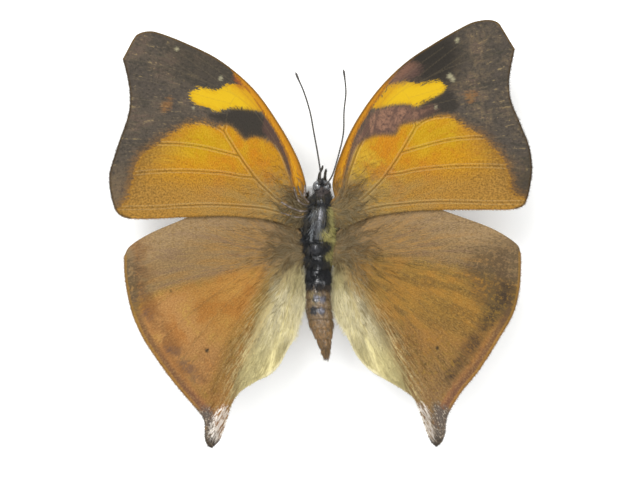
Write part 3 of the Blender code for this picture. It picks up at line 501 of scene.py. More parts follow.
class Wing:
    """One wing's outline, veins and markings, and the surface that carries them."""

    OUTLINE_STEP = 0.28
    VEIN_STEP = 0.5
    VEIN_END = 0.2         # how far before the margin a vein ends
    RIPPLE = 0.13          # a dried wing is never quite flat
    FARTHEST = 12.0        # where the marks stop counting
    ROW_CENTRES = {"forewing": (-14.0, 15.0), "hindwing": (-3.0, 5.0)}     # what the outer rows fan out from
    ROW_WIDTH = 30.0

    def __init__(self, kind, side_name):
        self.kind = kind
        self.side_name = side_name
        self.side = SIDES[side_name]
        self.name = f"{kind}_{side_name}"
        self.root = np.array(WING_ROOTS[kind])
        self.runs = {run: evenly(through(points), self.OUTLINE_STEP)
                     for run, points in MARGINS[kind, side_name].items()}
        self.outline = np.vstack([self.runs["costa"][:-1], self.runs["outer"][:-1], self.runs["inner"],
                                  self.root_line()])
        self.low, self.high = self.outline.min(0), self.outline.max(0)
        self.veins = self.vein_lines()

    def root_line(self):
        """The edge that follows the thorax, from the inner margin to the leading edge."""
        y = np.array(ROOT_PLACES[self.kind][::-1])
        heights = self.height(np.column_stack([np.full(len(y), INNER_MARGIN), y]))
        centre_x, centre_z, half_width, half_height = section(y)
        level = np.abs((heights - centre_z) / half_height) ** BODY_SQUARENESS
        reach = half_width * (1 - np.clip(level, 0.0, 0.95)) ** (1 / BODY_SQUARENESS)
        return np.column_stack([self.side * centre_x + reach - ROOT_TUCK, y])

    def height(self, places):
        """Height of the membrane's middle."""
        across, y = places[:, 0], places[:, 1]
        share = np.clip(across / HALF_SPAN, 0.0, 1.0)
        rise = across * tan(DIHEDRAL) + CAMBER * np.sin(pi * share) - DROOP * (y / HALF_SPAN) ** 2
        if self.kind == "hindwing":
            beside = (ease((INNER_FOLD_REACH[0] - y) / INNER_FOLD_EASE[0])
                      * ease((y - INNER_FOLD_REACH[1]) / INNER_FOLD_EASE[1]))
            rise -= INNER_FOLD * beside * ease((INNER_MARGIN - across) / INNER_FOLD_WIDTH + 1)
        wave = (np.sin(0.43 * across + 0.27 * y + 1.3 * self.side) * np.sin(0.36 * y - 0.2 * across)
                + 0.5 * np.sin(0.9 * across - 0.5 * y))
        rise += self.RIPPLE * wave * ease(across / HALF_SPAN)
        return WING_HEIGHTS[self.kind] + LIFTS[self.kind] + rise

    def vein_lines(self):
        """Each vein's points and radii, ending a little before the margin."""
        turn, stretch = VEIN_FITS[self.kind, self.side_name]
        rotation = np.array([[cos(turn), -sin(turn)], [sin(turn), cos(turn)]])
        lines = []
        for route, first, last in VEINS[self.kind].values():
            placed = self.root + stretch * (np.array(route) - self.root) @ rotation.T
            if placed[0][0] < 2 * self.root[0]:
                start = self.root + [-0.5, 0.4 * (placed[0][1] - self.root[1])]
                placed = np.vstack([start, placed])
            curve = evenly(through(placed), self.VEIN_STEP)
            curve = curve[(depth(curve, self.outline) > self.VEIN_END) | (curve[:, 0] < 2 * self.root[0])]
            lines.append((curve, np.linspace(first, last, len(curve))))
        costa = self.runs["costa"]
        along = unit(np.gradient(costa, axis=0))
        inward = costa + 0.12 * np.column_stack([along[:, 1], -along[:, 0]])
        lines.append((inward, np.linspace(*COSTA_RADII, len(inward))))
        return lines

    def centres(self, places):
        """What the rows of scales fan out from, near the root and further out."""
        reach = np.linalg.norm(places - self.root, axis=1)
        share = ease(reach / 24.0)[:, None]
        return self.root + share * (np.array(self.ROW_CENTRES[self.kind]) - self.root)

    def lie(self, places):
        """The direction in which scales and hairs point, which wanders in the tangle near the root."""
        ways = unit(places - self.centres(places))
        near = np.exp(-(np.linalg.norm(places - self.root, axis=1) / 7.0) ** 2)
        turn = 0.9 * near * np.sin(2.3 * places[:, 0] + 1.7 * np.sin(1.9 * places[:, 1]))
        return np.column_stack([np.cos(turn) * ways[:, 0] - np.sin(turn) * ways[:, 1],
                                np.sin(turn) * ways[:, 0] + np.cos(turn) * ways[:, 1]])

    def inside(self, name, places):
        """How far each place lies inside one marking."""
        return depth(places, rounded(MARKINGS[self.kind, self.side_name][name]))

    def marks(self, places):
        """The wing's marks, by name: how far each place is inside one, or away from it."""
        marks = {name: self.inside(name, places) for name in MARKINGS[self.kind, self.side_name]}
        marks |= {name: spot_depth(places, spots)
                  for name, spots in SPOTS[self.kind, self.side_name].items()}
        corners = {"apex": self.runs["outer"][0], "tip": self.runs["outer"][-1], "root": self.root}
        marks |= {name: np.linalg.norm(places - corner, axis=1) for name, corner in corners.items()}
        marks["vein"] = distance(places, [line for line, _ in self.veins[:-1]])
        marks |= {run: distance(places, [line]) for run, line in self.runs.items()}
        marks["right"] = np.full(len(places), float(self.side))
        marks["midrib"] = distance(places, [through(MIDRIBS[self.kind])])
        marks["eyespot"] = spot_depth(places, EYESPOTS[self.kind])
        marks["pale_dot"] = spot_depth(places, PALE_DOTS[self.kind])
        marks = {name: np.clip(values, -self.FARTHEST, 2.5 * self.FARTHEST)
                 for name, values in marks.items()}
        offset = places - self.centres(places)
        marks["rows"] = np.column_stack([np.linalg.norm(offset, axis=1),
                                         self.ROW_WIDTH * np.arctan2(offset[:, 1], offset[:, 0]),
                                         np.full(len(places), 7.0 * self.side)])
        marks["place"] = np.column_stack([self.side * places[:, 0], places[:, 1], np.zeros(len(places))])
        return marks

    def membrane(self, step):
        """The membrane's places and triangles."""
        width, length = self.high - self.low
        row_step = step * sin(pi / 3)
        rows, columns = np.mgrid[0:int(length / row_step) + 1, 0:int(width / step) + 1]
        grid = np.column_stack([(self.low[0] + (columns + 0.5 * (rows % 2)) * step).ravel(),
                                (self.low[1] + rows * row_step).ravel()])
        grid = grid[depth(grid, self.outline) > 0.5 * step]
        count = len(self.outline)
        rim = [(index, (index + 1) % count) for index in range(count)]
        places, _, triangles, _, _, _ = delaunay_2d_cdt(
            [Vector(place) for place in np.vstack([self.outline, grid])], rim, [], 1, 1e-4)
        if self.side < 0:
            triangles = [triangle[::-1] for triangle in triangles]
        return np.array([tuple(place) for place in places]), triangles

    def solid(self, places, lift=0.0):
        """The places on the wing, in X, Y and Z."""
        return np.column_stack([self.side * places[:, 0], places[:, 1], self.height(places) + lift])


def pick(*pieces):
    """Selects only these objects, the first of them the active one."""
    bpy.ops.object.select_all(action="DESELECT")
    for piece in pieces:
        piece.select_set(True)
    bpy.context.view_layer.objects.active = pieces[0]


def new_piece(name, points, faces):
    """A new mesh object in metres, from points in millimetres."""
    mesh = bpy.data.meshes.new(name)
    mesh.from_pydata((np.asarray(points) * MM).tolist(), [], faces)
    piece = bpy.data.objects.new(name, mesh)
    bpy.context.collection.objects.link(piece)
    return piece


def tube(name, route, radii, roundness=2):
    """A tapered tube with closed ends along a route, made from a curve."""
    line = bpy.data.curves.new(name, "CURVE")
    line.dimensions = "3D"
    line.bevel_depth = MM
    line.bevel_resolution = roundness
    line.use_fill_caps = True
    spline = line.splines.new("POLY")
    spline.points.add(len(route) - 1)
    for knot, place, radius in zip(spline.points, route, radii):
        knot.co = (*(np.asarray(place) * MM), 1.0)
        knot.radius = radius
    piece = bpy.data.objects.new(name, line)
    bpy.context.collection.objects.link(piece)
    pick(piece)
    bpy.ops.object.convert(target="MESH")
    bpy.ops.object.shade_smooth()
    return bpy.context.object


def read(items, field):
    """One field of all a mesh's points or faces, as rows of three."""
    values = np.empty(3 * len(items))
    items.foreach_get(field, values)
    return values.reshape(-1, 3)


def write_marks(mesh, marks):
    """Stores named values of a mesh's points as its attributes."""
    for name, values in marks.items():
        vector = values.ndim == 2
        kind, field = ("FLOAT_VECTOR", "vector") if vector else ("FLOAT", "value")
        attribute = mesh.attributes.new(name, kind, "POINT")
        attribute.data.foreach_set(field, np.ascontiguousarray(values, np.float32).ravel())


STRAND_STOPS = np.array([0.0, 0.3, 0.65])
STRAND_TAPER = np.array([1.0, 0.9, 0.55])
STRAND_POINTS = 10         # three rings of three, and the tip
BAKE_PATCH = 0.003         # size of a strand's patch on its unwrap


def strands(name, material, roots, directions, ups, lengths, widths, sag, unwrap, marks, seed):
    """Fine tapered hairs as one mesh, each rooted in the surface and bending by its sag.

    Each is a three-sided blade that ends in a point. Its marks are those of its root, and its
    unwrap is a small patch at its root's place.
    """
    count = len(roots)
    random = np.random.default_rng(seed)
    sides = unit(np.cross(directions, ups))
    crests = unit(np.cross(sides, directions))
    corners = np.stack([sides, -sides, crests], axis=1)
    stops = STRAND_STOPS[None, :, None]
    spine = (roots[:, None, :] + lengths[:, None, None] * (stops * directions[:, None, :]
                                                           + stops ** 2 * sag[:, None, :]))
    rings = (spine[:, :, None, :]
             + (widths[:, None] * STRAND_TAPER)[:, :, None, None] * corners[:, None, :, :])
    tips = roots + lengths[:, None] * (directions + sag)
    points = np.concatenate([rings.reshape(count, STRAND_POINTS - 1, 3), tips[:, None, :]], axis=1)
    faces = [(0, 2, 1)]
    for ring in (0, 3):
        for corner in range(3):
            after = (corner + 1) % 3
            faces += [(ring + corner, ring + after, ring + 3 + after),
                      (ring + corner, ring + 3 + after, ring + 3 + corner)]
    faces += [(6, 7, 9), (7, 8, 9), (8, 6, 9)]
    faces = (np.array(faces)[None] + STRAND_POINTS * np.arange(count)[:, None, None]).reshape(-1, 3)
    piece = new_piece(name, points.reshape(-1, 3), faces.tolist())
    mesh = piece.data
    along = np.append(np.repeat(STRAND_STOPS, 3), 1.0)
    aside = np.append(np.tile([0.5, -0.5, 0.0], 3), 0.0)
    patch = unwrap[:, None, :] + BAKE_PATCH * np.column_stack([aside, along - 0.5])[None]
    corner_points = np.empty(len(mesh.loops), np.int32)
    mesh.loops.foreach_get("vertex_index", corner_points)
    layer = mesh.uv_layers.new(name="OFBake")
    layer.data.foreach_set("uv", patch.reshape(-1, 2)[corner_points].astype(np.float32).ravel())
    marks = marks | {"strand": random.random(count)}
    write_marks(mesh, {mark: np.repeat(values, STRAND_POINTS, axis=0) for mark, values in marks.items()})
    mesh.materials.append(material)
    mesh.shade_smooth()
    return piece


def add(tree, kind, inputs=None, output=0, **settings):
    """Adds a shader node and gives one output; an input is a value or another node's output."""
    made = tree.nodes.new("ShaderNode" + kind)
    for name, value in settings.items():
        setattr(made, name, value)
    for socket, value in (inputs or {}).items():
        if isinstance(value, bpy.types.NodeSocket):
            tree.links.new(value, made.inputs[socket])
        else:
            made.inputs[socket].default_value = value
    return made.outputs[output]


def start_material(name, roughness, specular=0.5, metallic=0.0):
    """A new material, its node tree and its shader, with the values that are the same all over."""
    paint = bpy.data.materials.new(name)
    paint.use_nodes = True
    shader = paint.node_tree.nodes["Principled BSDF"]
    shader.inputs["Roughness"].default_value = roughness
    shader.inputs["Specular IOR Level"].default_value = specular
    shader.inputs["Metallic"].default_value = metallic
    return paint, paint.node_tree, shader


class Signals(dict):
    """The values a pattern is made of, each added to the node tree when it is first asked for.

    A signal is a grain, which is noise with cells of a size, or one of the mesh's own marks. A
    grain is what it follows, its cells' sizes in millimetres, its detail and its roughness. It
    follows a vector mark of the mesh, or the object's own space. The torn edge that all markings
    share is made of grains, each with how far it moves the edge.
    """

    def __init__(self, tree, grains, tear=()):
        super().__init__()
        self.tree = tree
        self.grains = grains
        for name, reach in tear:
            part = add(tree, "Math", {0: self[name], 1: reach, 2: -reach / 2}, operation="MULTIPLY_ADD")
            if "tear" in self:
                part = add(tree, "Math", {0: self["tear"], 1: part}, operation="ADD")
            self["tear"] = part

    def __missing__(self, name):
        if name in self.grains:
            source, sizes, detail, roughness = self.grains[name]
            if source == "space":
                followed = add(self.tree, "TexCoord", output="Object")
                sizes = [size * MM for size in sizes]
            else:
                followed = add(self.tree, "Attribute", output="Vector", attribute_name=source)
            placed = add(self.tree, "Mapping", {"Vector": followed, "Scale": [1 / size for size in sizes]})
            self[name] = add(self.tree, "TexNoise", {"Vector": placed, "Scale": 1.0, "Detail": detail,
                                                     "Roughness": roughness})
        else:
            self[name] = add(self.tree, "Attribute", output="Fac", attribute_name=name)
        return self[name]


def layered(tree, signals, ground, layers):
    """Lays colours over a ground colour, one after the other.

    A layer is its strength, its colour and its limits. A limit is a signal, the values at which
    its share is 0 and 1, and how far its edge is torn, if it is.
    """
    for strength, colour, *limits in layers:
        share = strength
        for name, start, end, *torn in limits:
            value = signals[name]
            if torn:
                value = add(tree, "Math", {0: signals["tear"], 1: torn[0], 2: value},
                            operation="MULTIPLY_ADD")
            limit = add(tree, "MapRange", {"Value": value, "From Min": start, "From Max": end},
                        interpolation_type="SMOOTHSTEP")
            share = add(tree, "Math", {0: share, 1: limit}, operation="MULTIPLY")
        colour = linear(colour) if isinstance(colour, str) else tuple(colour)
        ground = add(tree, "Mix", {0: share, 6: ground, 7: colour}, 2, data_type="RGBA")
    return ground


def dress(tree, shader, colour, height=None, strength=0.0, depth_mm=0.0):
    """Gives a shader its colour, and a height as bump, if there is one."""
    tree.links.new(colour, shader.inputs["Base Color"])
    if height is not None:
        bump = add(tree, "Bump", {"Height": height, "Strength": strength, "Distance": depth_mm * MM})
        tree.links.new(bump, shader.inputs["Normal"])


# A wing scale is about 0.1 mm wide and 0.2 mm long; the grain is drawn about twice as coarse, so
# that it shows in a picture of the whole animal
WING_GRAINS = {
    "ray": ("rows", (11.0, 1.7, 1.0), 4.0, 0.6),
    "streak": ("rows", (2.6, 0.34, 1.0), 3.0, 0.6),
    "fine": ("rows", (0.7, 0.2, 1.0), 2.0, 0.6),
    "scales": ("rows", (0.34, 0.22, 1.0), 2.0, 0.7),
    "mottle": ("place", (0.7, 0.7, 1.0), 3.0, 0.7),
    "cloud": ("place", (4.2, 4.2, 1.0), 3.0, 0.55),
}


# Limits that keep a layer to the left wings and to the right ones
ONE_SIDE = ("right", 0.5, -0.5), ("right", -0.5, 0.5)


def forewing_layers(paint):
    """The forewing's upper side: a dark outer half, an orange field and a yellow bar."""
    field = ("patch", 0.0, 0.6, 1)
    left, right = ONE_SIDE
    return [
        (0.45, paint.forewing_light, ("cloud", 0.42, 0.62)),
        (0.35, "#6b5b41", ("cloud", 0.4, 0.6), ("mottle", 0.44, 0.6), right),
        (0.5, "#2f2c27", ("mottle", 0.5, 0.34)),
        (0.4, "#5b4a42", ("cloud", 0.5, 0.64), ("streak", 0.42, 0.56)),
        (0.45, "#3a3931", ("streak", 0.47, 0.36), ("mottle", 0.6, 0.46)),
        (0.4, "#38352e", ("ray", 0.5, 0.4), ("fine", 0.62, 0.46)),
        (0.45, "#74664d", ("fine", 0.54, 0.7), ("mottle", 0.42, 0.6)),
        (0.6, "#8f7c56", ("streak", 0.57, 0.66), ("mottle", 0.46, 0.6), ("outer", 14.0, 5.0, 2)),
        (0.5, "#6e5b42", ("outer", 5.5, 1.0, 2.5), ("apex", 14.0, 20.0), ("mottle", 0.3, 0.5), left),
        (0.6, "#3d352a", ("outer", 6.5, 1.0, 2.5), ("apex", 14.0, 20.0), ("mottle", 0.3, 0.5), right),
        (0.5, "#343029", ("apex_black", -3.4, 1.4, 1.4), left),
        (0.9, "#292622", ("apex_black", -3.6, 1.0, 2.0), right),
        (0.5, "#64492b", ("patch", -2.0, 0.2, 1.8), ("outer", 8.0, 3.5, 1.5)),
        (0.8, "#7a5729", ("patch", -1.3, 0.5, 1.3), ("mottle", 0.36, 0.54)),
        (1.0, paint.orange, ("patch", -0.3, 0.7, 1.2)),
        (0.8, paint.golden, ("patch", 0.3, 2.6, 1), ("inner", 7.5, 12.0), ("root", 10.0, 15.0),
         ("outer", 5.0, 9.0)),
        (0.5, "#a8850e", field, ("cloud", 0.46, 0.6), ("root", 12.0, 17.0), ("inner", 6.0, 10.0)),
        (0.65, "#ad6a12", field, ("cloud", 0.52, 0.4), ("root", 19.0, 12.0, 3)),
        (0.6, "#bb9a2e", field, ("cloud", 0.44, 0.56), ("root", 13.0, 9.0, 3), right),
        (0.5, "#a06414", field, ("mottle", 0.48, 0.64), ("ray", 0.42, 0.56)),
        (0.35, "#b08c1c", field, ("ray", 0.5, 0.38), ("root", 9.0, 13.0, 3), ("inner", 5.0, 9.0)),
        (0.9, "#82602c", field, ("outer", 11.5, 3.0, 3), ("inner", -2.0, 4.5)),
        (0.55, "#614521", ("patch", 2.4, 0.0, 2.0), ("patch", -0.2, 0.6, 1), ("outer", 8.0, 4.0, 1.5),
         ("mottle", 0.34, 0.5)),
        (0.75, "#936c32", field, ("inner", 8.0, 2.5, 2.0)),
        (0.4, "#54411f", field, ("inner", 9.0, 3.5, 3), ("fine", 0.44, 0.7)),
        (0.3, "#4a3a1c", field, ("inner", 10.0, 4.5, 3), ("scales", 0.58, 0.34)),
        (0.3, "#86734a", field, ("inner", 6.0, 3.0, 3), ("root", 22.0, 12.0, 4), ("ray", 0.6, 0.42)),
        (0.5, "#4f4023", field, ("root", 18.0, 6.0, 4), ("fine", 0.44, 0.68)),
        (0.6, "#7b6c4a", field, ("root", 12.0, 3.5, 3), ("inner", 11.0, 5.0, 1),
         ("mottle", 0.36, 0.54)),
        (1.0, paint.yellow, ("bar", -0.3, 0.25, 1.2)),
        (0.55, "#a87a10", ("bar", 1.1, 0.0, 1), ("bar", -0.3, 0.25, 1.2), ("streak", 0.42, 0.6)),
        (0.6, "#a8741a", ("bar", -0.3, 0.25, 1.2), ("costa", 3.0, 1.2, 1.0)),
        (0.95, paint.black, ("black", -0.5, 0.4, 1.4)),
        (0.9, "#4c3a33", ("purple", -0.3, 0.25, 0.6), left),
        (0.9, "#59433a", ("purple", -0.6, 0.6, 1.3), right),
        (0.7, "#8f6a54", ("purple", -0.1, 0.9, 1.0), right, ("ray", 0.4, 0.56), ("mottle", 0.34, 0.6)),
        (0.5, "#3b302b", ("purple", -0.4, 0.3, 1.0), right, ("root", 17.5, 20.5, 2)),
        (1.0, "#a9711c", ("strip", -0.25, 0.15, 0.4)),
        (0.8, "#c08a18", ("strip", 0.0, 0.3, 0.3), ("costa", 0.45, 0.9), ("streak", 0.36, 0.52)),
        (0.6, "#6a3f1c", ("strip", 0.4, 0.05, 0.3), ("strip", -0.15, 0.1), ("mottle", 0.36, 0.5)),
        (0.6, "#8a4a1f", ("blush", -0.4, 0.3, 1.0), left),
        (0.8, "#5a443c", ("blush", -1.1, 0.9, 1.8), right),
        (0.5, "#825d48", ("blush", -0.8, 0.5, 1.2), ("costa", 2.0, 0.5, 1.0), right),
        (0.7, "#9d9678", ("white", -0.3, 0.25, 0.5)),
        (0.55, "#80592f", ("amber", -0.5, 0.4, 1.4)),
        (0.55, "#533f22", ("vein", 0.15, 0.05), ("patch", -0.1, 0.3, 0.5)),
        (0.14, "#c4b184", ("vein", 0.12, 0.26, 0.1), ("vein", 0.42, 0.28, 0.1),
         ("patch", -0.1, 0.3, 0.5)),
        (0.2, "#8a6a2c", ("vein", 0.14, 0.05), ("bar", 0.0, 0.3, 0.5)),
        (0.12, "#7a6c50", ("vein", 0.14, 0.06), ("patch", 0.1, -0.3, 0.5), ("bar", 0.1, -0.3, 0.5)),
        (0.85, "#3a3327", ("root", 5.0, 1.8, 2.5), ("mottle", 0.3, 0.46), left),
        (0.7, "#6a5c42", ("root", 7.0, 2.0, 3), ("mottle", 0.3, 0.5), right),
        (0.7, "#3d3020", ("outer", 0.45, 0.1, 0.2)),
        (0.7, "#5e4620", ("costa", 0.3, 0.12)),
        (0.25, "#18130e", ("scales", 0.54, 0.32), ("bar", 0.3, -0.3)),
        (0.16, "#c7a75a", ("scales", 0.5, 0.72), ("patch", -0.5, 0.5, 1)),
    ]


def hindwing_layers(paint):
    """The hindwing's upper side: brown, warmer in its middle, pale and hairy by the body."""
    left, right = ONE_SIDE
    return [
        (0.3, "#5e4a28", ("fine", 0.44, 0.7)),
        (0.45, "#9a7b3a", ("mottle", 0.5, 0.66)),
        (0.4, "#94642a", ("cloud", 0.46, 0.6)),
        (0.35, "#94682a", ("streak", 0.48, 0.66), ("root", 28.0, 16.0, 4), right),
        (0.4, "#96692a", ("ray", 0.5, 0.62), ("root", 30.0, 18.0, 4), ("mottle", 0.3, 0.54), right),
        (0.75, "#504127", ("ray", 0.54, 0.38), ("root", 4.0, 9.0), ("mottle", 0.66, 0.4), right),
        (0.4, "#59482c", ("streak", 0.5, 0.34), ("root", 6.0, 12.0), right),
        (0.85, paint.hindwing_band, ("band", -1.8, 1.0, 3)),
        (0.4, "#6a563e", ("band", -0.6, 0.4, 1.5), ("fine", 0.42, 0.64)),
        (0.6, "#6d5544", ("band", -0.8, 0.6, 1.8), ("ray", 0.5, 0.38), ("mottle", 0.3, 0.52)),
        (0.4, "#8a6330", ("band", -0.8, 0.6, 1.8), ("ray", 0.5, 0.64), ("costa", 1.0, 3.0, 1.0)),
        (0.6, "#a3773a", ("band", -0.6, 0.4, 1.5), ("streak", 0.48, 0.62), ("root", 20.0, 8.0, 4)),
        (0.5, "#937b5c", ("costa", 5.5, 1.5, 2.5), ("mottle", 0.34, 0.52)),
        # The warm patch is the wing's own; its stronger orange on the left wing, here and below, is painted
        # light
        (0.95, paint.hindwing_warm_and_painted_light, ("warm", -1.0, 1.0, 2.0), left),
        (0.4, "#8b642a", ("warm", -1.4, 1.4, 2.2), right),
        (0.5, "#ae7a38", ("warm", -0.5, 1.0, 1.2), ("root", 18.0, 9.0, 3), left),
        (0.4, "#a07650", ("warm", -0.5, 1.4, 1.2), ("root", 16.0, 22.0, 3), left),
        (0.5, "#8c5520", ("warm", -0.8, 1.0, 1.5), ("cloud", 0.48, 0.62), left),
        (0.45, "#a2803c", ("warm", -0.8, 1.0, 1.5), ("cloud", 0.46, 0.34), ("mottle", 0.4, 0.56), left),
        (0.4, "#6f4a20", ("warm", -0.8, 1.0, 1.5), ("ray", 0.52, 0.66), ("streak", 0.4, 0.56), left),
        (0.65, "#7a5836", ("band", -7.0, -14.0, 3), ("mottle", 0.34, 0.52)),
        (0.4, "#8e5c30", ("outer", 5.5, 2.0, 1), ("outer", 1.0, 2.0, 1), ("cloud", 0.36, 0.5), left),
        (0.5, "#7a6247", ("tip", 15.0, 6.0, 3), ("mottle", 0.34, 0.5), right),
        (0.5, "#4f3f26", ("outer", 1.0, 4.0, 2), ("fine", 0.44, 0.66), ("ray", 0.6, 0.44), right),
        (0.4, "#5a4526", ("root", 30.0, 10.0, 4), ("fine", 0.46, 0.66), left),
        (0.25, "#54452c", ("root", 13.0, 5.0, 4), ("mottle", 0.36, 0.56)),
        (0.7, "#6b5c43", ("root", 7.0, 2.2, 3.5), ("mottle", 0.32, 0.52)),
        (0.75, "#4a3e2d", ("smoke", -2.6, 1.4, 2.6), ("mottle", 0.34, 0.54)),
        (0.35, "#4b3b2b", ("outer", 5.0, 3.2, 1.0), ("outer", 1.2, 2.4, 1.0), ("cloud", 0.4, 0.54),
         ("tip", 6.0, 10.0)),
        (0.85, "#352c25", ("blots", -1.2, 0.6, 1.8), ("mottle", 0.38, 0.54), right),
        (0.6, "#52433b", ("blots", -1.0, 0.5, 1.6), ("mottle", 0.36, 0.5), left),
        (0.5, "#a5946a", ("straw", -3.4, 0.0, 3), ("streak", 0.42, 0.58)),
        (0.95, paint.straw, ("straw", -1.2, 1.8, 2.5)),
        (0.5, "#8f8158", ("straw", -0.6, 1.8, 2.5), ("streak", 0.46, 0.62)),
        (0.3, "#9a8f6c", ("straw", -0.6, 1.8, 2.5), ("ray", 0.52, 0.4)),
        (0.6, "#867656", ("dusk", -1.2, 1.0, 1.2), ("streak", 0.38, 0.54)),
        (0.35, "#9a8b66", ("straw", -0.4, 0.8, 1), ("fine", 0.5, 0.62)),
        (0.8, "#d8cfa8", ("inner", 0.5, 0.15, 0.3), ("straw", 0.0, 0.4), ("tip", 12.0, 15.0)),
        (0.5, "#8c5f38", ("outer", 2.2, 1.3, 0.7), ("tip", 2.0, 4.0), ("apex", 8.0, 14.0)),
        (0.35, "#84503e", ("outer", 2.0, 1.1, 0.7), ("tip", 13.0, 7.0), ("tip", 2.5, 4.0)),
        (0.55, "#4f3a32", ("outer", 0.3, 0.6, 0.1), ("outer", 1.6, 0.8, 0.4), ("apex", 5.0, 11.0)),
        (0.7, "#856330", ("outer", 0.5, 0.25, 0.15)),
        (0.9, "#544e48", ("tail", -0.9, 0.6, 1.2), ("mottle", 0.26, 0.44)),
        (0.5, "#b5aca4", ("tail", -0.6, 0.4, 1.0), ("scales", 0.55, 0.66)),
        (0.85, "#e4dbd0", ("tail_white", -0.5, 0.2, 0.8), ("fine", 0.42, 0.54)),
        (0.8, "#38312c", ("tip", 2.1, 0.9, 0.9)),
        (0.9, "#2c241d", ("dots", -0.2, 0.16, 0.3)),
        (0.25, "#614d33", ("vein", 0.15, 0.06), ("straw", 0.5, -0.5)),
        (0.1, "#a48b72", ("vein", 0.12, 0.05), ("band", -0.5, 0.5)),
        (0.25, "#18130e", ("scales", 0.54, 0.32), ("straw", 0.6, -0.4)),
        (0.16, "#c9ae6c", ("scales", 0.5, 0.72), ("smoke", 0.0, -2.0, 1), ("blots", 0.0, -1.5, 1)),
    ]


# Both wings' underside: a dead leaf, with a midrib across both, little eyes and pale dots
UNDERSIDE_LAYERS = [
    (0.75, "#4d3a22", ("streak", 0.42, 0.62)),
    (0.6, "#7e6744", ("mottle", 0.5, 0.66)),
    (0.45, "#3a2b1a", ("cloud", 0.5, 0.64)),
    (0.6, "#8a7552", ("outer", 7.0, 2.5, 2.5), ("cloud", 0.38, 0.55)),
    (0.55, "#8f7c5a", ("midrib", 2.6, 0.4, 0.8)),
    (0.95, "#24190f", ("midrib", 0.42, 0.16, 0.4)),
    (0.5, "#3a2a18", ("vein", 0.5, 0.12, 0.4)),
    (0.8, "#a07a3a", ("eyespot", -0.45, -0.1, 0.2)),
    (0.95, "#17110b", ("eyespot", -0.1, 0.12, 0.15)),
    (0.9, "#c9bfa6", ("eyespot", 0.38, 0.5)),
    (0.9, "#cfc8b4", ("pale_dot", -0.15, 0.1, 0.15)),
    (0.5, "#b3a37c", ("inner", 1.2, 0.2, 0.5), ("root", 7.0, 14.0)),
    (0.6, "#33261a", ("outer", 0.5, 0.1, 0.2)),
]


def wing_paint(kind, upper, paint, hair=False):
    """A wing's material: overlapping scales in rows, matt but for a faint silkiness.

    The coat's material is the same pattern, read at each hair's root, and lighter or darker from
    hair to hair.
    """
    name = f"{kind}_{'upper' if upper else 'under'}_{'hairs' if hair else 'scales'}"
    material, tree, shader = start_material(name, 0.5 if hair else 0.7, 0.06)
    # Teeth along the rows of scales, with single scales out of place
    signals = Signals(tree, WING_GRAINS, (("streak", 1.1), ("fine", 1.1), ("scales", 0.6)))
    if not upper:
        ground, layers = paint.underside, UNDERSIDE_LAYERS
    elif kind == "forewing":
        ground, layers = paint.forewing_brown, forewing_layers(paint)
    else:
        ground, layers = paint.hindwing_brown, hindwing_layers(paint)
    colour = layered(tree, signals, tuple(ground), layers)
    if hair:
        cream = (0.7, "#efe6c4", ("strand", 0.1, 0.8), ("root", 4.5, 7.0), ("root", 18.0, 9.0),
                 ("inner", 5.5, 3.5))
        colour = layered(tree, signals, colour, [
            (0.45, "#3a3224", ("strand", 0.4, 0.0), ("root", 12.0, 4.0)),
            (0.6, "#93866a", ("strand", 0.5, 0.9), ("root", 9.0, 3.5)),
            *([cream] if kind == "hindwing" else []),
        ])
        dress(tree, shader, colour)
    else:
        # Each scale tips up a little at its end, so a row of them is a low step
        height = add(tree, "Math", {0: signals["scales"], 1: signals["fine"]}, operation="ADD")
        dress(tree, shader, colour, height, 0.55, 0.05)
    return material


def wing_skin(wing, settings, paints):
    """One wing: its thin membrane with the swell of its veins, and the veins as raised tubes."""
    places, triangles = wing.membrane(settings.mesh_step / MM)
    vein_distance = distance(places, [line for line, _ in wing.veins])
    lift = (settings.vein_swell / MM * bump_at(vein_distance, 0.35)
            - settings.vein_sag / MM * (1 - bump_at(vein_distance, 1.5)))
    piece = new_piece(wing.name + "_scales", wing.solid(places, lift), triangles)
    pick(piece)
    shell = piece.modifiers.new("membrane", "SOLIDIFY")
    shell.thickness = settings.membrane
    shell.offset = 0.0
    bpy.ops.object.modifier_apply(modifier=shell.name)
    flat_faces = len(piece.data.polygons)
    tubes = [tube(f"{wing.name}_vein", wing.solid(line, 0.02), radii, 2) for line, radii in wing.veins]
    pick(piece, *tubes)
    bpy.ops.object.join()
    bpy.ops.object.shade_smooth()
    mesh = piece.data
    mesh.materials.clear()
    for material in paints:
        mesh.materials.append(material)
    write_marks(mesh, wing.marks(read(mesh.vertices, "co")[:, :2] / MM * [wing.side, 1.0]))
    centres = read(mesh.polygons, "center")[:, :2] / MM * [wing.side, 1.0]
    # Vein tubes near the left forewing's root get the bare vein material, with its painted glints
    bare = np.linalg.norm(centres - wing.root, axis=1) < BARE_VEIN_GLINT_REACH.get(wing.name, 0.0)
    bare &= np.arange(len(centres)) >= flat_faces
    kinds = np.where(bare, 2, np.where(read(mesh.polygons, "normal")[:, 2] < 0, 1, 0))
    mesh.polygons.foreach_set("material_index", kinds.astype(np.int32))
    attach(piece, "root")
    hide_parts(wing.name)


def scatter(wing, count, weight, seed):
    """Places on a wing, drawn at random but more where the weight is more."""
    random = np.random.default_rng(seed)
    kept = np.empty((0, 2))
    while len(kept) < count:
        places = wing.low + random.random((4 * count, 2)) * (wing.high - wing.low)
        places = places[depth(places, wing.outline) > 0.1]
        kept = np.vstack([kept, places[random.random(len(places)) < weight(places)]])
    return kept[:count]


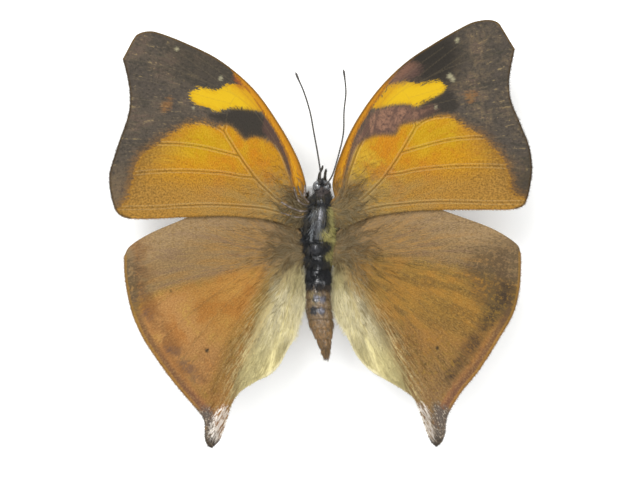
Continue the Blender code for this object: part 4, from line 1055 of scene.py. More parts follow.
def wing_strands(wing, material, places, directions, lengths, width, rise, seed, facing=1, trim=True):
    """Hairs on a wing: flat directions across it, each standing off it by about so many degrees."""
    random = np.random.default_rng(seed)
    count = len(places)
    step, curl = 0.2, 0.08
    slope = (wing.height(places + step * directions) - wing.height(places)) / step
    flat_ways = unit(np.column_stack([wing.side * directions[:, 0], directions[:, 1], slope]))
    ups = np.tile([0.0, 0.0, facing], (count, 1))
    angles = np.radians(random.uniform(0.4, 1.6, count) * rise)[:, None]
    ways = unit(flat_ways * np.cos(angles) + ups * np.sin(angles))
    sag = -0.8 * np.sin(angles) * ups + curl * random.normal(size=(count, 3)) * [1.0, 1.0, 0.15]
    sizes = lengths * random.uniform(0.6, 1.2, count)
    if trim:
        room = depth(places, wing.outline)
        over = depth(places + sizes[:, None] * directions, wing.outline) < 0.1
        sizes = np.where(over, np.minimum(sizes, 0.25 + room), sizes)
    unwrap = (places - wing.low) / (wing.high - wing.low)
    return strands(f"{wing.name}_strands", material, wing.solid(places, 0.03 * facing), ways, ups,
                   sizes, width * random.uniform(0.7, 1.2, count), sag, unwrap, wing.marks(places), seed)


def join(name, pieces):
    """Several meshes as one piece that rides on the body."""
    pick(*pieces)
    if len(pieces) > 1:
        bpy.ops.object.join()
    whole = bpy.context.object
    whole.name = name
    whole.data.name = name
    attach(whole, "root")
    return whole


def fringe(wing, material, settings, seed):
    """The fine fringe of scales along a wing's outer and inner margins, longest beside the body."""
    rim = evenly(np.vstack([wing.runs["outer"], wing.runs["inner"][1:]]), settings.fringe_step / MM)
    along = unit(np.gradient(rim, axis=0))
    outward = np.column_stack([-along[:, 1], along[:, 0]])
    outward *= np.sign(-depth(rim + 0.3 * outward, wing.outline))[:, None]
    ways = unit(outward + 0.35 * wing.lie(rim))
    lengths = settings.fringe_length / MM * np.where(rim[:, 0] < 4.0, 2.4, 1.0)
    return wing_strands(wing, material, rim - 0.12 * outward, ways, lengths, 0.045, 2.0, seed, trim=False)


def wing_coat(wing, settings, upper, under):
    """The hair of one wing: over its root, along its inner margin and tail, and below."""
    pieces = [fringe(wing, upper, settings, 11)]

    def grow(material, count, weight, length, width, rise, seed, facing=1):
        places = scatter(wing, round(settings.density * count), weight, seed)
        ways = wing.lie(places)
        pieces.append(wing_strands(wing, material, places, ways, length, width, rise, seed, facing))

    def near_root(reach):
        return lambda places: np.exp(-(np.linalg.norm(places - wing.root, axis=1) / reach) ** 2)

    def within(name, margin, blur):
        return lambda places: ease((wing.inside(name, places) + margin) / blur)

    if wing.kind == "forewing":
        grow(upper, 1400, near_root(4.6), 1.1, 0.026, 7.0, 21)
        grow(upper, 1300 if wing.side > 0 else 700, near_root(2.8), 1.5, 0.03, 18.0, 23)
        grow(under, 800, near_root(5.0), 1.2, 0.028, 8.0, 22, -1)
    else:
        grow(upper, 5200, within("straw", 1.0, 1.6), 1.9, 0.027, 4.0, 31)
        grow(upper, 2000, near_root(5.6), 1.5, 0.026, 7.0, 32)
        grow(upper, 1200, near_root(3.2), 1.6, 0.03, 20.0, 36)
        grow(upper, 900, lambda places: wing.inside("straw", places) > -3.5, 1.5, 0.025, 4.0, 33)
        grow(upper, 420, within("tail_white", 0.3, 0.5), 1.2, 0.03, 6.0, 34)
        grow(under, 1600, within("straw", 0.5, 1.4), 1.8, 0.03, 4.0, 35, -1)
    return join(f"{wing.name}_hairs", pieces)


# The body's own markings: glossy worn places and painted highlights as X, Y and radius, the two
# lines of painted glint in the thorax's pale hair, and the outline of the olive tufts seen from above
GLINT_LINES = [np.array([(-1.35, 0.3), (-0.8, 4.9)]), np.array([(-0.2, 2.0), (0.3, 4.9)])]
GLOSS_SPOTS = [(-1.05, -10.6, 0.6), (-0.6, -8.8, 0.5), (0.5, -8.8, 0.5), (0.2, -10.6, 0.5)]
PAINTED_HIGHLIGHT_SPOTS = [(-0.6, -8.7, 0.35), (0.4, -8.9, 0.4), (0.25, -10.6, 0.35), (0.1, 3.2, 0.25),
                  (0.15, 4.0, 0.25)]
OLIVE_OUTLINE = [(1.1, 4.6), (1.7, 5.0), (2.2, 4.2), (2.2, 2.6), (2.0, 1.0), (2.4, -0.4), (2.9, -2.0),
                 (2.9, -4.6), (1.9, -3.9), (1.2, -3.0), (0.7, -2.2), (1.4, -1.2), (1.5, -0.4),
                 (0.5, 0.0), (-0.1, 0.6), (0.2, 1.5), (1.0, 1.9), (1.2, 2.8)]
BODY_GRAINS = {
    "mottle": ("place", (0.35, 0.35, 0.35), 3.0, 0.6),
    "fine": ("place", (0.14, 0.5, 0.14), 2.0, 0.6),
    "cloud": ("place", (1.7, 1.7, 1.7), 2.0, 0.5),
}


def body_marks(y, angle):
    """The body's marks, by name, at places along Y and angles round it."""
    centre_x, _, half_width, _ = section(y)
    x = centre_x + half_width * np.cos(angle)
    up = np.sin(angle)
    places = np.column_stack([x, y])

    def above(values, level=0.0):
        return np.where(up > level, values, -3.0)

    return {
        "abdomen": ABDOMEN_FRONT - y,
        "head": y - 6.7,
        "olive": above(depth(places, rounded(OLIVE_OUTLINE)), -0.3),
        "grey": above(0.3 - distance(places, GLINT_LINES)),
        "belly": -up,
        "gloss": above(spot_depth(places, GLOSS_SPOTS)),
        "painted_highlight": above(spot_depth(places, PAINTED_HIGHLIGHT_SPOTS)),
        "shield": above(1.0 - np.hypot(x + 0.75, (y + 1.4) * 1.1)),
        "ring": ((ABDOMEN_FRONT - y) / SEGMENT_LENGTH) % 1.0,
        "place": body_surface(y, angle, 0.0),
    }


def body_layers(paint):
    """The body: black and glossy in front, olive hair on one flank, brown behind, paler below."""
    return [
        (0.5, "#45454a", ("shield", 0.0, 0.5, 0.4)),
        (0.8, "#6f6460", ("head", -0.4, 0.1, 0.4), ("head", 1.3, 0.8, 0.3), ("mottle", 0.36, 0.5),
         ("belly", 0.0, -0.4)),
        (0.6, "#4a4234", ("belly", -0.1, 0.5, 0.3)),
        (0.9, paint.abdomen, ("abdomen", 2.3, 4.2, 2.2)),
        (0.6, "#33281a", ("abdomen", 2.2, 3.4, 0.5), ("ring", 0.25, 0.02)),
        (0.75, "#8c693c", ("abdomen", 6.8, 9.5, 0.5), ("mottle", 0.4, 0.56), ("belly", 0.0, -0.4, 0.3)),
        (0.5, "#7b7048", ("abdomen", 3.0, 4.0, 0.5), ("abdomen", 6.5, 4.5, 0.5), ("cloud", 0.45, 0.62)),
        (0.5, "#7a6c50", ("abdomen", 2.0, 3.4, 0.5), ("belly", 0.1, 0.7, 0.3)),
        (0.9, "#20242b", ("gloss", -0.3, 0.15, 0.5)),
        # Painted highlights and sheen: pale grey-violet spots on the worn glossy places
        (0.6, "#8f8d97", ("painted_highlight", -0.3, 0.2, 0.6)),
        (0.5, "#6a6238", ("olive", -0.3, 0.4, 0.9)),
    ]


def body_paint(paint, hair=False):
    """The body's material: hard polished chitin, nearly black, with painted highlights on worn places.

    The coat's material is the same pattern, read at each hair's root.
    """
    name, specular = ("body_hairs", 0.5) if hair else ("body_chitin", 0.6)
    material, tree, shader = start_material(name, 0.4, specular)
    signals = Signals(tree, BODY_GRAINS, (("mottle", 1.6), ("fine", 0.6)))
    colour = layered(tree, signals, tuple(paint.chitin), body_layers(paint))
    if hair:
        colour = layered(tree, signals, colour, [
            # Painted glints: the hair along the two glint lines is coloured pale grey
            (0.9, "#85898d", ("grey", 0.0, 0.15)),
            (0.9, paint.olive, ("olive", -0.3, 0.4, 0.6)),
            (0.6, "#4f4a28", ("olive", -0.3, 0.4), ("strand", 0.45, 0.1)),
            (0.45, "#6d6248", ("abdomen", 0.5, -0.5), ("strand", 0.55, 0.75), ("olive", 0.0, -0.5),
             ("cloud", 0.4, 0.56)),
            (0.5, "#0f0e0d", ("strand", 0.3, 0.0)),
            (0.5, "#b9925a", ("strand", 0.6, 1.0), ("abdomen", 7.5, 11.0)),
            (0.6, "#d6cc84", ("strand", 0.6, 1.0), ("olive", -0.2, 0.4)),
        ])
        dress(tree, shader, colour)
    else:
        worn = add(tree, "MapRange", {"Value": signals["mottle"], "From Min": 0.35, "From Max": 0.7,
                                      "To Min": 0.1, "To Max": 0.34})
        tree.links.new(worn, shader.inputs["Roughness"])
        dress(tree, shader, colour, signals["fine"], 0.5, 0.04)
    return material


def shape_skin(settings, material):
    """The body's skin, a fine grid wrapped round the stations and closed at both ends."""
    rings, turns = 240, 84
    bpy.ops.object.select_all(action="DESELECT")
    bpy.ops.mesh.primitive_grid_add(x_subdivisions=turns, y_subdivisions=rings, size=1.0)
    skin = bpy.context.object
    skin.name = "body_skin"
    mesh = skin.data
    flat = read(mesh.vertices, "co")
    y = BODY_CURVE[0, 0] + (flat[:, 1] + 0.5) * (BODY_CURVE[-1, 0] - BODY_CURVE[0, 0])
    angle = 2 * pi * (flat[:, 0] + 0.5)
    points = body_surface(y, angle, -settings.coat_depth / MM)
    mesh.vertices.foreach_set("co", (points * MM).ravel())
    write_marks(mesh, body_marks(y, angle))
    bpy.ops.object.mode_set(mode="EDIT")
    bpy.ops.mesh.select_all(action="SELECT")
    bpy.ops.mesh.remove_doubles(threshold=1e-7)
    bpy.ops.mesh.fill_holes(sides=0)
    bpy.ops.mesh.normals_make_consistent(inside=False)
    bpy.ops.object.mode_set(mode="OBJECT")
    bpy.ops.object.shade_smooth()
    mesh.materials.append(material)
    return skin


# Areas of hair that end in front of the neck belong to the head, and those that end behind the
# waist to the abdomen
NECK, WAIST = 4.8, -4.5

# Where the body's hair grows: number of hairs, from and to along Y, from and to round the body in
# degrees (0 is the right side, 90 the back), length, half width, how steeply it stands in degrees,
# which way along the body it points (1 is forward), how far it fans out from the middle line, and
# into how many tufts it gathers (0 is none)
BODY_COAT = [
    (2200, 6.4, -4.0, 122, 200, 1.7, 0.034, 26, -1, 1.0, 80),
    (1900, 6.4, -4.0, -30, 50, 1.6, 0.034, 26, -1, 1.0, 70),
    (560, 5.2, -2.4, 55, 125, 0.8, 0.024, 9, -1, 0.2, 0),
    (1500, 6.0, -4.4, 200, 330, 1.3, 0.04, 24, -1, 0.2, 50),
    (1500, 4.8, -4.3, -2, 66, 1.2, 0.036, 40, -1, 0.7, 46),
    (2400, -2.9, -7.2, 0, 360, 1.0, 0.036, 36, -1, 0.8, 80),
    (1100, -3.6, -6.2, -40, 60, 1.1, 0.036, 46, -1, 1.4, 40),
    (900, 7.2, 5.2, -30, 60, 1.2, 0.032, 34, 1, 1.2, 30),
    (900, 7.2, 5.2, 120, 210, 1.2, 0.032, 34, 1, 1.2, 30),
    (300, 8.0, 6.6, 60, 120, 0.5, 0.026, 30, 1, 0.3, 0),
    (160, 9.1, 8.0, 82, 98, 0.5, 0.028, 30, 1, 0.2, 0),
    (700, 9.0, 6.7, 180, 360, 0.8, 0.035, 30, 1, 0.2, 0),
    (3600, -6.6, -17.2, 0, 360, 0.55, 0.032, 10, -1, -0.5, 0),
    (900, -6.6, -13.5, 140, 400, 0.7, 0.034, 30, -1, 0.5, 0),
    (220, -16.4, -17.7, 0, 360, 0.8, 0.035, 20, -1, 0.1, 0),
    (190, 6.6, 4.9, 50, 130, 0.8, 0.024, 14, -1, 0.4, 0),
    (260, -0.5, -2.6, 60, 130, 0.45, 0.024, 16, -1, 0.6, 0),
    (420, 3.2, 0.4, 8, 48, 1.3, 0.034, 34, -1, 1.8, 16),
    (420, 3.2, 0.4, 132, 172, 1.3, 0.034, 34, -1, 1.8, 16),
]


def body_hair(settings, material, area, seed):
    """The hair of one area of the body, lying along it."""
    count, front, back, first, last, length, width, stand, forward, fan, tufts = area
    random = np.random.default_rng(seed)
    count = round(count * settings.density)
    y = random.uniform(back, front, count)
    angle = random.uniform(first, last, count)
    lean = np.zeros(count)
    rise = np.ones(count)
    if tufts:
        tuft = random.integers(tufts, size=count)
        draw = random.random((4, tufts))
        y = (back + draw[0] * (front - back))[tuft] + random.normal(0.0, 0.2, count)
        angle = (first + draw[1] * (last - first))[tuft] + random.normal(0.0, 7.0, count)
        lean = (draw[2] - 0.5)[tuft]
        rise = (0.6 + 0.8 * draw[3])[tuft]
    angle = np.radians(angle)
    ups = body_normals(y, angle)
    along = unit(forward * (np.array([[0.0, 1.0, 0.0]]) - ups * ups[:, 1:2]))
    aside = unit(np.cross([[0.0, 1.0, 0.0]], ups)) * np.sign(np.cos(angle) * np.sin(angle))[:, None]
    spread = (fan * (np.abs(np.cos(angle)) + lean) + random.normal(0.0, 0.22, count))[:, None]
    angles = np.radians(stand * rise * random.uniform(0.6, 1.4, count))[:, None]
    ways = unit(unit(along + spread * aside) * np.cos(angles) + ups * np.sin(angles))
    sag = -0.5 * np.sin(angles) * ups + 0.14 * random.normal(size=(count, 3))
    front_end, back_end = BODY[0][0], BODY[-1][0]
    unwrap = np.column_stack([np.mod(angle / (2 * pi), 1.0), (y - back_end) / (front_end - back_end)])
    return strands("body_strands", material, body_surface(y, angle, -settings.coat_depth / MM), ways, ups,
                   length * random.uniform(0.5, 1.2, count), width * random.uniform(0.7, 1.2, count),
                   sag, unwrap, body_marks(y, angle), seed)


def plain_paint(name, ground, roughness, grains, layers, bump, specular=0.5, metallic=0.0):
    """A material on the object's own space: a ground colour, layers over it, and one grain as bump."""
    material, tree, shader = start_material(name, roughness, specular, metallic)
    signals = Signals(tree, {grain: ("space", *values) for grain, values in grains.items()})
    grain, strength, depth_mm = bump
    colour = layered(tree, signals, tuple(ground), layers)
    dress(tree, shader, colour, signals[grain], strength, depth_mm)
    return material


def shape_eye(side_name, material):
    """One compound eye: a fine ball pressed to an oval, closed off flat where it sits in the head."""
    side = SIDES[side_name]
    bpy.ops.object.select_all(action="DESELECT")
    bpy.ops.mesh.primitive_uv_sphere_add(segments=64, ring_count=40, radius=MM)
    eye = bpy.context.object
    eye.name = f"compound_eye_{side_name}"
    centre = (section(EYE_PLACE[1])[0] + side * EYE_PLACE[0], *EYE_PLACE[1:])
    bpy.ops.object.mode_set(mode="EDIT")
    bpy.ops.mesh.select_all(action="SELECT")
    bpy.ops.transform.resize(value=EYE_RADII, center_override=(0.0, 0.0, 0.0))
    bpy.ops.transform.translate(value=[value * MM for value in centre])
    bpy.ops.mesh.bisect(plane_co=[(centre[0] - side * 0.45) * MM, 0.0, 0.0], plane_no=(side, 0.0, 0.0),
                        use_fill=True, clear_inner=True)
    bpy.ops.object.mode_set(mode="OBJECT")
    bpy.ops.object.shade_smooth()
    eye.data.materials.append(material)
    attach(eye, "root")
    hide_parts(f"eye_{side_name}")


def shape_antenna(side_name, settings, material):
    """One feeler: a thin ringed rod on a thicker first joint, with a slim club at its end."""
    route = evenly(through(ANTENNA_ROUTES[side_name]), 0.09)
    travelled = np.concatenate([[0.0], np.linalg.norm(np.diff(route, axis=0), axis=1).cumsum()])
    left = travelled[-1] - travelled
    radius = settings.antenna_radius / MM
    club = settings.club_radius / MM
    widths = radius * (1 + 0.1 * np.cos(2 * pi * travelled / 0.36))
    widths += (club - radius) * ease((settings.club_length / MM - left) / 1.3)
    widths += 0.09 * (1 - ease((travelled - 0.45) / 0.35))
    widths *= np.sqrt(np.clip(left / 0.35, 0.12, 1.0))
    feeler = tube(f"feeler_{side_name}", route, widths, 3)
    finish_tube(feeler, material, f"antenna_{side_name}")


def finish_tube(piece, material, node):
    """Gives a tube its material and puts it in its node's place."""
    piece.data.materials.clear()
    piece.data.materials.append(material)
    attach(piece, "root")
    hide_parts(node)


def tube_hair(name, material, route, radii, count, length, width, stand, seed):
    """Short hairs or bristles all round a tube, lying along it."""
    random = np.random.default_rng(seed)
    spots = random.uniform(0.04, 0.97, count) * (len(route) - 1)
    index = spots.astype(int)
    share = (spots - index)[:, None]
    along = unit(route[index + 1] - route[index])
    middle = route[index] + share * (route[index + 1] - route[index])
    reach = np.interp(spots, np.arange(len(route)), radii)
    across_any = [[0.31, 0.2, 0.93]]       # a direction that no tube runs along
    flat = unit(np.cross(along, across_any))
    other = np.cross(along, flat)
    turn = random.uniform(0, 2 * pi, (count, 1))
    ups = np.cos(turn) * flat + np.sin(turn) * other
    angles = np.radians(stand * random.uniform(0.5, 1.5, (count, 1)))
    ways = along * np.cos(angles) + ups * np.sin(angles)
    unwrap = np.column_stack([turn[:, 0] / (2 * pi), spots / len(route)])
    return strands(name, material, middle + 0.9 * reach[:, None] * ups, ways, ups,
                   length * random.uniform(0.6, 1.2, count), width * random.uniform(0.7, 1.2, count),
                   0.1 * random.normal(size=(count, 3)), unwrap, {}, seed)


def shape_tongue(settings, material):
    """The coiled tongue under the head, a flat spiral tube that thins towards its middle."""
    turns = 3.4
    angle = np.linspace(pi / 2, pi / 2 - 2 * pi * turns, 150)
    share = np.linspace(0.0, 1.0, len(angle))
    reach = 1.12 - 0.95 * share
    x, y, z = TONGUE_CENTRE
    route = np.column_stack([x + 0.05 * np.sin(9 * share), y - reach * np.cos(angle),
                             z + reach * np.sin(angle)])
    route = np.vstack([[x, y + 0.35, z + 1.75], route])
    widths = settings.tongue_radius / MM * (1 - 0.55 * np.linspace(0.0, 1.0, len(route)))
    finish_tube(tube("coiled_tongue", route, widths, 3), material, "proboscis")


LEG_CENTRE = -0.25             # the thorax's own middle line, where the legs start


def shape_leg(kind, side_name, material):
    """One leg: thigh, shin and five foot joints, with the knee swollen and a pair of claws."""
    corners = np.array(LEG_ROUTES[kind])
    corners[:, 0] = LEG_CENTRE + SIDES[side_name] * corners[:, 0]
    route = evenly(through(corners, 10), 0.12)
    share = np.linspace(0.0, 1.0, len(route))
    knee_corner = corners[len(corners) // 2 - (kind == "foreleg")]
    knee = share[np.argmin(np.linalg.norm(route - knee_corner, axis=1))]
    foot = 0.62                # how far along the leg its foot starts
    joint = 0.076              # how long one of its joints is
    widths = np.interp(share, [0.0, 0.25, knee, knee + 0.1, 0.75, 1.0], [0.3, 0.27, 0.2, 0.17, 0.12, 0.09])
    widths += 0.03 * bump_at(share - knee, 0.04)
    widths += np.where(share > foot, 0.02 * np.cos(2 * pi * (share - foot) / joint), 0.0)
    pieces = [tube(f"{kind}_{side_name}_limb", route, widths, 3)]
    if kind != "foreleg":
        end = route[-1]
        ahead = unit(end - route[-4])
        for spread in (-1, 1):
            aside = np.array([spread * 0.22, 0.0, 0.0])
            claw = [end, end + 0.22 * ahead + aside, end + 0.3 * ahead + 1.3 * aside - [0.0, 0.0, 0.13]]
            pieces.append(tube("claw", through(claw, 5), np.linspace(0.05, 0.012, 11), 1))
    for piece in pieces:
        piece.data.materials.clear()
        piece.data.materials.append(material)
    return route, widths, pieces


def colour_setting(name, code, description):
    """A colour that a user may change."""
    return bpy.props.FloatVectorProperty(name=name, description=description, default=linear(code), size=4,
                                         min=0.0, max=1.0, subtype="COLOR")


def length_setting(name, length, description):
    """A length that a user may change."""
    return bpy.props.FloatProperty(name=name, description=description, default=length, min=0.0,
                                   unit="LENGTH", precision=5)


def share_setting(name, share, description, most=1.0):
    """A share that a user may change."""
    return bpy.props.FloatProperty(name=name, description=description, default=share, min=0.05, max=most,
                                   subtype="FACTOR")


def power_setting(name, power, description):
    """The power of a lamp, in watts, that a user may change."""
    return bpy.props.FloatProperty(name=name, description=description, default=power, min=0.0,
                                   unit="POWER")


class ButterflyWings(bpy.types.PropertyGroup):
    """Sizes and colours of the wings."""

    mesh_step: length_setting("Mesh step", 0.00025, "How far apart the membrane's points are")
    membrane: length_setting("Membrane", 0.00012, "How thick the membrane is, scales and all")
    vein_swell: length_setting("Vein swell", 0.00005, "How far the membrane rises along a vein")
    vein_sag: length_setting("Vein sag", 0.00003, "How far it sinks between two veins")
    forewing_brown: colour_setting("Forewing brown", "#48413a", "The forewing's outer half")
    forewing_light: colour_setting("Forewing light", "#5c5142", "Its paler scales")
    orange: colour_setting("Orange", "#a97612", "The forewing's field")
    golden: colour_setting("Golden", "#a07c0e", "The field's brighter outer part")
    yellow: colour_setting("Yellow", "#bd991a", "The forewing's bar")
    black: colour_setting("Black", "#322e29", "The dark bar below the yellow one")
    hindwing_brown: colour_setting("Hindwing brown", "#7d602e", "The hindwing's middle")
    hindwing_band: colour_setting("Hindwing band", "#806848", "The hindwing's front, greyer")
    # Used on the left hindwing only, where part of its orange is painted light
    hindwing_warm_and_painted_light: colour_setting("Hindwing warm", "#956a33", "The hindwing's warmer patch")
    straw: colour_setting("Straw", "#d2c792", "The hindwing's hairy inner margin")
    underside: colour_setting("Underside", "#634b2d", "The dead-leaf brown below")


class ButterflyCoat(bpy.types.PropertyGroup):
    """Sizes of the hair."""

    density: share_setting("Density", 1.0, "Share of all hairs that are made", 1.5)
    fringe_length: length_setting("Fringe", 0.00034, "How long the fringe of the wings is")
    fringe_step: length_setting("Fringe step", 0.0001, "How far apart the fringe's scales are")


class ButterflyBody(bpy.types.PropertyGroup):
    """Sizes and colours of the body."""

    density: share_setting("Density", 1.0, "Share of all hairs that are made", 1.5)
    coat_depth: length_setting("Coat depth", 0.0002, "How far the skin lies inside the coat")
    antenna_radius: length_setting("Feeler radius", 0.00012, "Half the width of a feeler")
    club_radius: length_setting("Club radius", 0.00018, "Half the width of its club")
    club_length: length_setting("Club length", 0.0018, "How long the club is")
    tongue_radius: length_setting("Tongue radius", 0.00013, "Half the width of the coiled tongue")
    chitin: colour_setting("Chitin", "#1b1c1e", "The thorax and the head")
    abdomen: colour_setting("Abdomen", "#755f43", "The abdomen's scales")
    olive: colour_setting("Olive", "#b9ad68", "The tufts on the right flank")
    eye: colour_setting("Eye", "#1a2026", "The compound eyes")


class ButterflyStage(bpy.types.PropertyGroup):
    """The floor and the lights."""

    floor_size: length_setting("Floor", 4.0, "How wide the floor is")
    key_power: power_setting("Overhead light", 3.1, "The light above")
    side_power: power_setting("Side lights", 0.5, "Each light at the side")
    window_power: power_setting("Window", 1.9,
                                "The small light in front, which gives eyes and thorax a glint")
    sky: share_setting("Room light", 0.8, "Brightness of the room around", 5.0)
    board_glow: share_setting("Board glow", 0.12, "How strongly the board is lit from below")


def softbox(name, place, aim, width, power):
    """A square soft light at a place, turned to its aim, which the camera doesn't see."""
    lamp = bpy.data.lights.new(name, "AREA")
    lamp.shape = "SQUARE"
    lamp.size = width
    lamp.energy = power
    piece = bpy.data.objects.new(name, lamp)
    piece.location = place
    piece.rotation_euler = (Vector(aim) - Vector(place)).to_track_quat("-Z", "Y").to_euler()
    piece.visible_camera = False
    bpy.context.collection.objects.link(piece)


class BUTTERFLY_OT_stage(bpy.types.Operator):
    """Lays the pale floor, hangs the soft lights and puts the camera straight above"""

    bl_idname = "butterfly.stage"
    bl_label = "Floor, lights and camera"

    def execute(self, context):
        settings = context.scene.butterfly_stage
        bpy.ops.object.select_all(action="DESELECT")
        bpy.ops.mesh.primitive_plane_add(size=settings.floor_size)
        floor = context.object
        floor.name = "floor"
        # Matt white board: it gives the eye an even, pale ground without a glint
        board = plain_paint("matt_white_board", linear("#f8f8f6"), 0.9,
                            {"pulp": ((9.0, 9.0, 9.0), 3.0, 0.5)},
                            [(0.3, "#f0f1f2", ("pulp", 0.4, 0.6))], ("pulp", 0.1, 0.05), 0.2)
        # Evenly lit from below, as a light table is, so that only close hollows look grey
        shine = board.node_tree.nodes["Principled BSDF"].inputs
        shine["Emission Color"].default_value = linear("#ffffff")
        shine["Emission Strength"].default_value = settings.board_glow
        floor.data.materials.append(board)
        softbox("overhead", (0.0, -0.06, 0.78), (0.0, 0.0, 0.0), 0.8, settings.key_power)
        softbox("front_window", (-0.14, 0.26, 0.55), (0.0, 0.0, 0.012), 0.26, settings.window_power)
        softbox("left_window", (-0.55, 0.25, 0.35), (0.0, 0.0, 0.012), 0.35, settings.side_power)
        softbox("right_window", (0.55, 0.1, 0.35), (0.0, 0.0, 0.012), 0.3, settings.side_power)
        world = bpy.data.worlds.new("room")
        world.use_nodes = True
        world.node_tree.nodes["Background"].inputs["Color"].default_value = linear("#fbfdff")
        world.node_tree.nodes["Background"].inputs["Strength"].default_value = settings.sky
        context.scene.world = world
        context.scene.view_settings.view_transform = "Standard"
        # Straight above, so that the picture is 96 mm across at the height of the wings
        lens = bpy.data.cameras.new("camera")
        lens.sensor_width = 36.0
        lens.lens = 168.75
        lens.clip_start = 0.01
        camera = bpy.data.objects.new("camera", lens)
        camera.location = (0.0, 0.0, 0.465)
        context.collection.objects.link(camera)
        context.scene.camera = camera
        return {"FINISHED"}


def make_wings(kind, settings):
    """Both wings of a kind, with the materials that they share."""
    # Overlapping scales: matt, coloured in flecks, and rough at every edge of a marking
    paints = [wing_paint(kind, True, settings), wing_paint(kind, False, settings)]
    # Bare vein: hard, horn-like and shiny, with a brown that comes and goes, and with pale lilac flecks
    # that are painted glints
    paints.append(plain_paint("bare_vein_chitin_and_painted_glint", linear("#4a3f35"), 0.3,
                              {"fleck": ((0.7, 0.45, 0.7), 3.0, 0.7)},
                              [(0.7, "#8a7c74", ("fleck", 0.5, 0.64)),
                               (0.7, "#211d1a", ("fleck", 0.46, 0.32))], ("fleck", 0.5, 0.08), 0.4))
    for side_name in SIDES:
        wing_skin(Wing(kind, side_name), settings, paints)
    return {"FINISHED"}


class BUTTERFLY_OT_forewings(bpy.types.Operator):
    """Builds both forewings: membrane, veins and markings"""

    bl_idname = "butterfly.forewings"
    bl_label = "Forewings"

    def execute(self, context):
        return make_wings("forewing", context.scene.butterfly_wings)


class BUTTERFLY_OT_hindwings(bpy.types.Operator):
    """Builds both hindwings: membrane, veins and markings"""

    bl_idname = "butterfly.hindwings"
    bl_label = "Hindwings"

    def execute(self, context):
        return make_wings("hindwing", context.scene.butterfly_wings)


class BUTTERFLY_OT_wing_coat(bpy.types.Operator):
    """Grows the fringe and the hair of all four wings"""

    bl_idname = "butterfly.wing_coat"
    bl_label = "Wing hair and fringe"

    def execute(self, context):
        scene = context.scene
        for kind in WING_ROOTS:
            # Fine hair-scales: they catch the light one by one and soften every margin
            upper = wing_paint(kind, True, scene.butterfly_wings, True)
            under = wing_paint(kind, False, scene.butterfly_wings, True)
            for side_name in SIDES:
                coat = wing_coat(Wing(kind, side_name), scene.butterfly_coat, upper, under)
        return {"FINISHED"}


class BUTTERFLY_OT_skin(bpy.types.Operator):
    """Builds one closed skin for head, thorax and abdomen"""

    bl_idname = "butterfly.skin"
    bl_label = "Body skin"

    def execute(self, context):
        settings = context.scene.butterfly_body
        skin = shape_skin(settings, body_paint(settings))
        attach(skin, "root")
        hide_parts("thorax", "abdomen", "head")
        return {"FINISHED"}


class BUTTERFLY_OT_body_coat(bpy.types.Operator):
    """Grows the hair of the body, area by area"""

    bl_idname = "butterfly.body_coat"
    bl_label = "Body hair"

    def execute(self, context):
        settings = context.scene.butterfly_body
        # Body hair: dark and glossy in front, dull and short on the abdomen
        material = body_paint(settings, True)
        coats = {"head": [], "thorax": [], "abdomen": []}
        for number, area in enumerate(BODY_COAT):
            back = area[2]
            part = "head" if back > NECK else "abdomen" if back < WAIST else "thorax"
            coats[part].append(body_hair(settings, material, area, 100 + number))
        for part, pieces in coats.items():
            join(f"{part}_hairs", pieces)
            "abdomen" if part == "abdomen" else "thorax"
        return {"FINISHED"}


class BUTTERFLY_OT_eyes(bpy.types.Operator):
    """Sets the two compound eyes"""

    bl_idname = "butterfly.eyes"
    bl_label = "Compound eyes"

    def execute(self, context):
        settings = context.scene.butterfly_body
        # Facets are about 0.03 mm across; they are drawn three times as coarse to show
        material = plain_paint("faceted_cornea", settings.eye, 0.08,
                               {"facet": ((0.09, 0.09, 0.09), 0.0, 0.5),
                                "cloud": ((0.6, 0.6, 0.6), 2.0, 0.5)},
                               [(0.6, "#3d3428", ("cloud", 0.42, 0.62))], ("facet", 0.15, 0.01),
                               1.0)
        material.node_tree.nodes["Principled BSDF"].inputs["IOR"].default_value = 1.75
        for side_name in SIDES:
            shape_eye(side_name, material)
        return {"FINISHED"}


class BUTTERFLY_OT_feelers(bpy.types.Operator):
    """Builds the two feelers with their clubs"""

    bl_idname = "butterfly.feelers"
    bl_label = "Feelers"

    def execute(self, context):
        # Ringed dark chitin with a bloom of pale scales, duller than the thorax
        material = plain_paint("feeler_chitin", linear("#2b2826"), 0.5,
                               {"ring": ((2.0, 0.18, 2.0), 1.0, 0.5),
                                "fleck": ((0.1, 0.2, 0.1), 2.0, 0.5)},
                               [(0.6, "#4c4640", ("ring", 0.45, 0.6)),
                                (0.3, "#7d766c", ("fleck", 0.6, 0.7))], ("ring", 0.4, 0.03))
        for side_name in SIDES:
            shape_antenna(side_name, context.scene.butterfly_body, material)
        return {"FINISHED"}


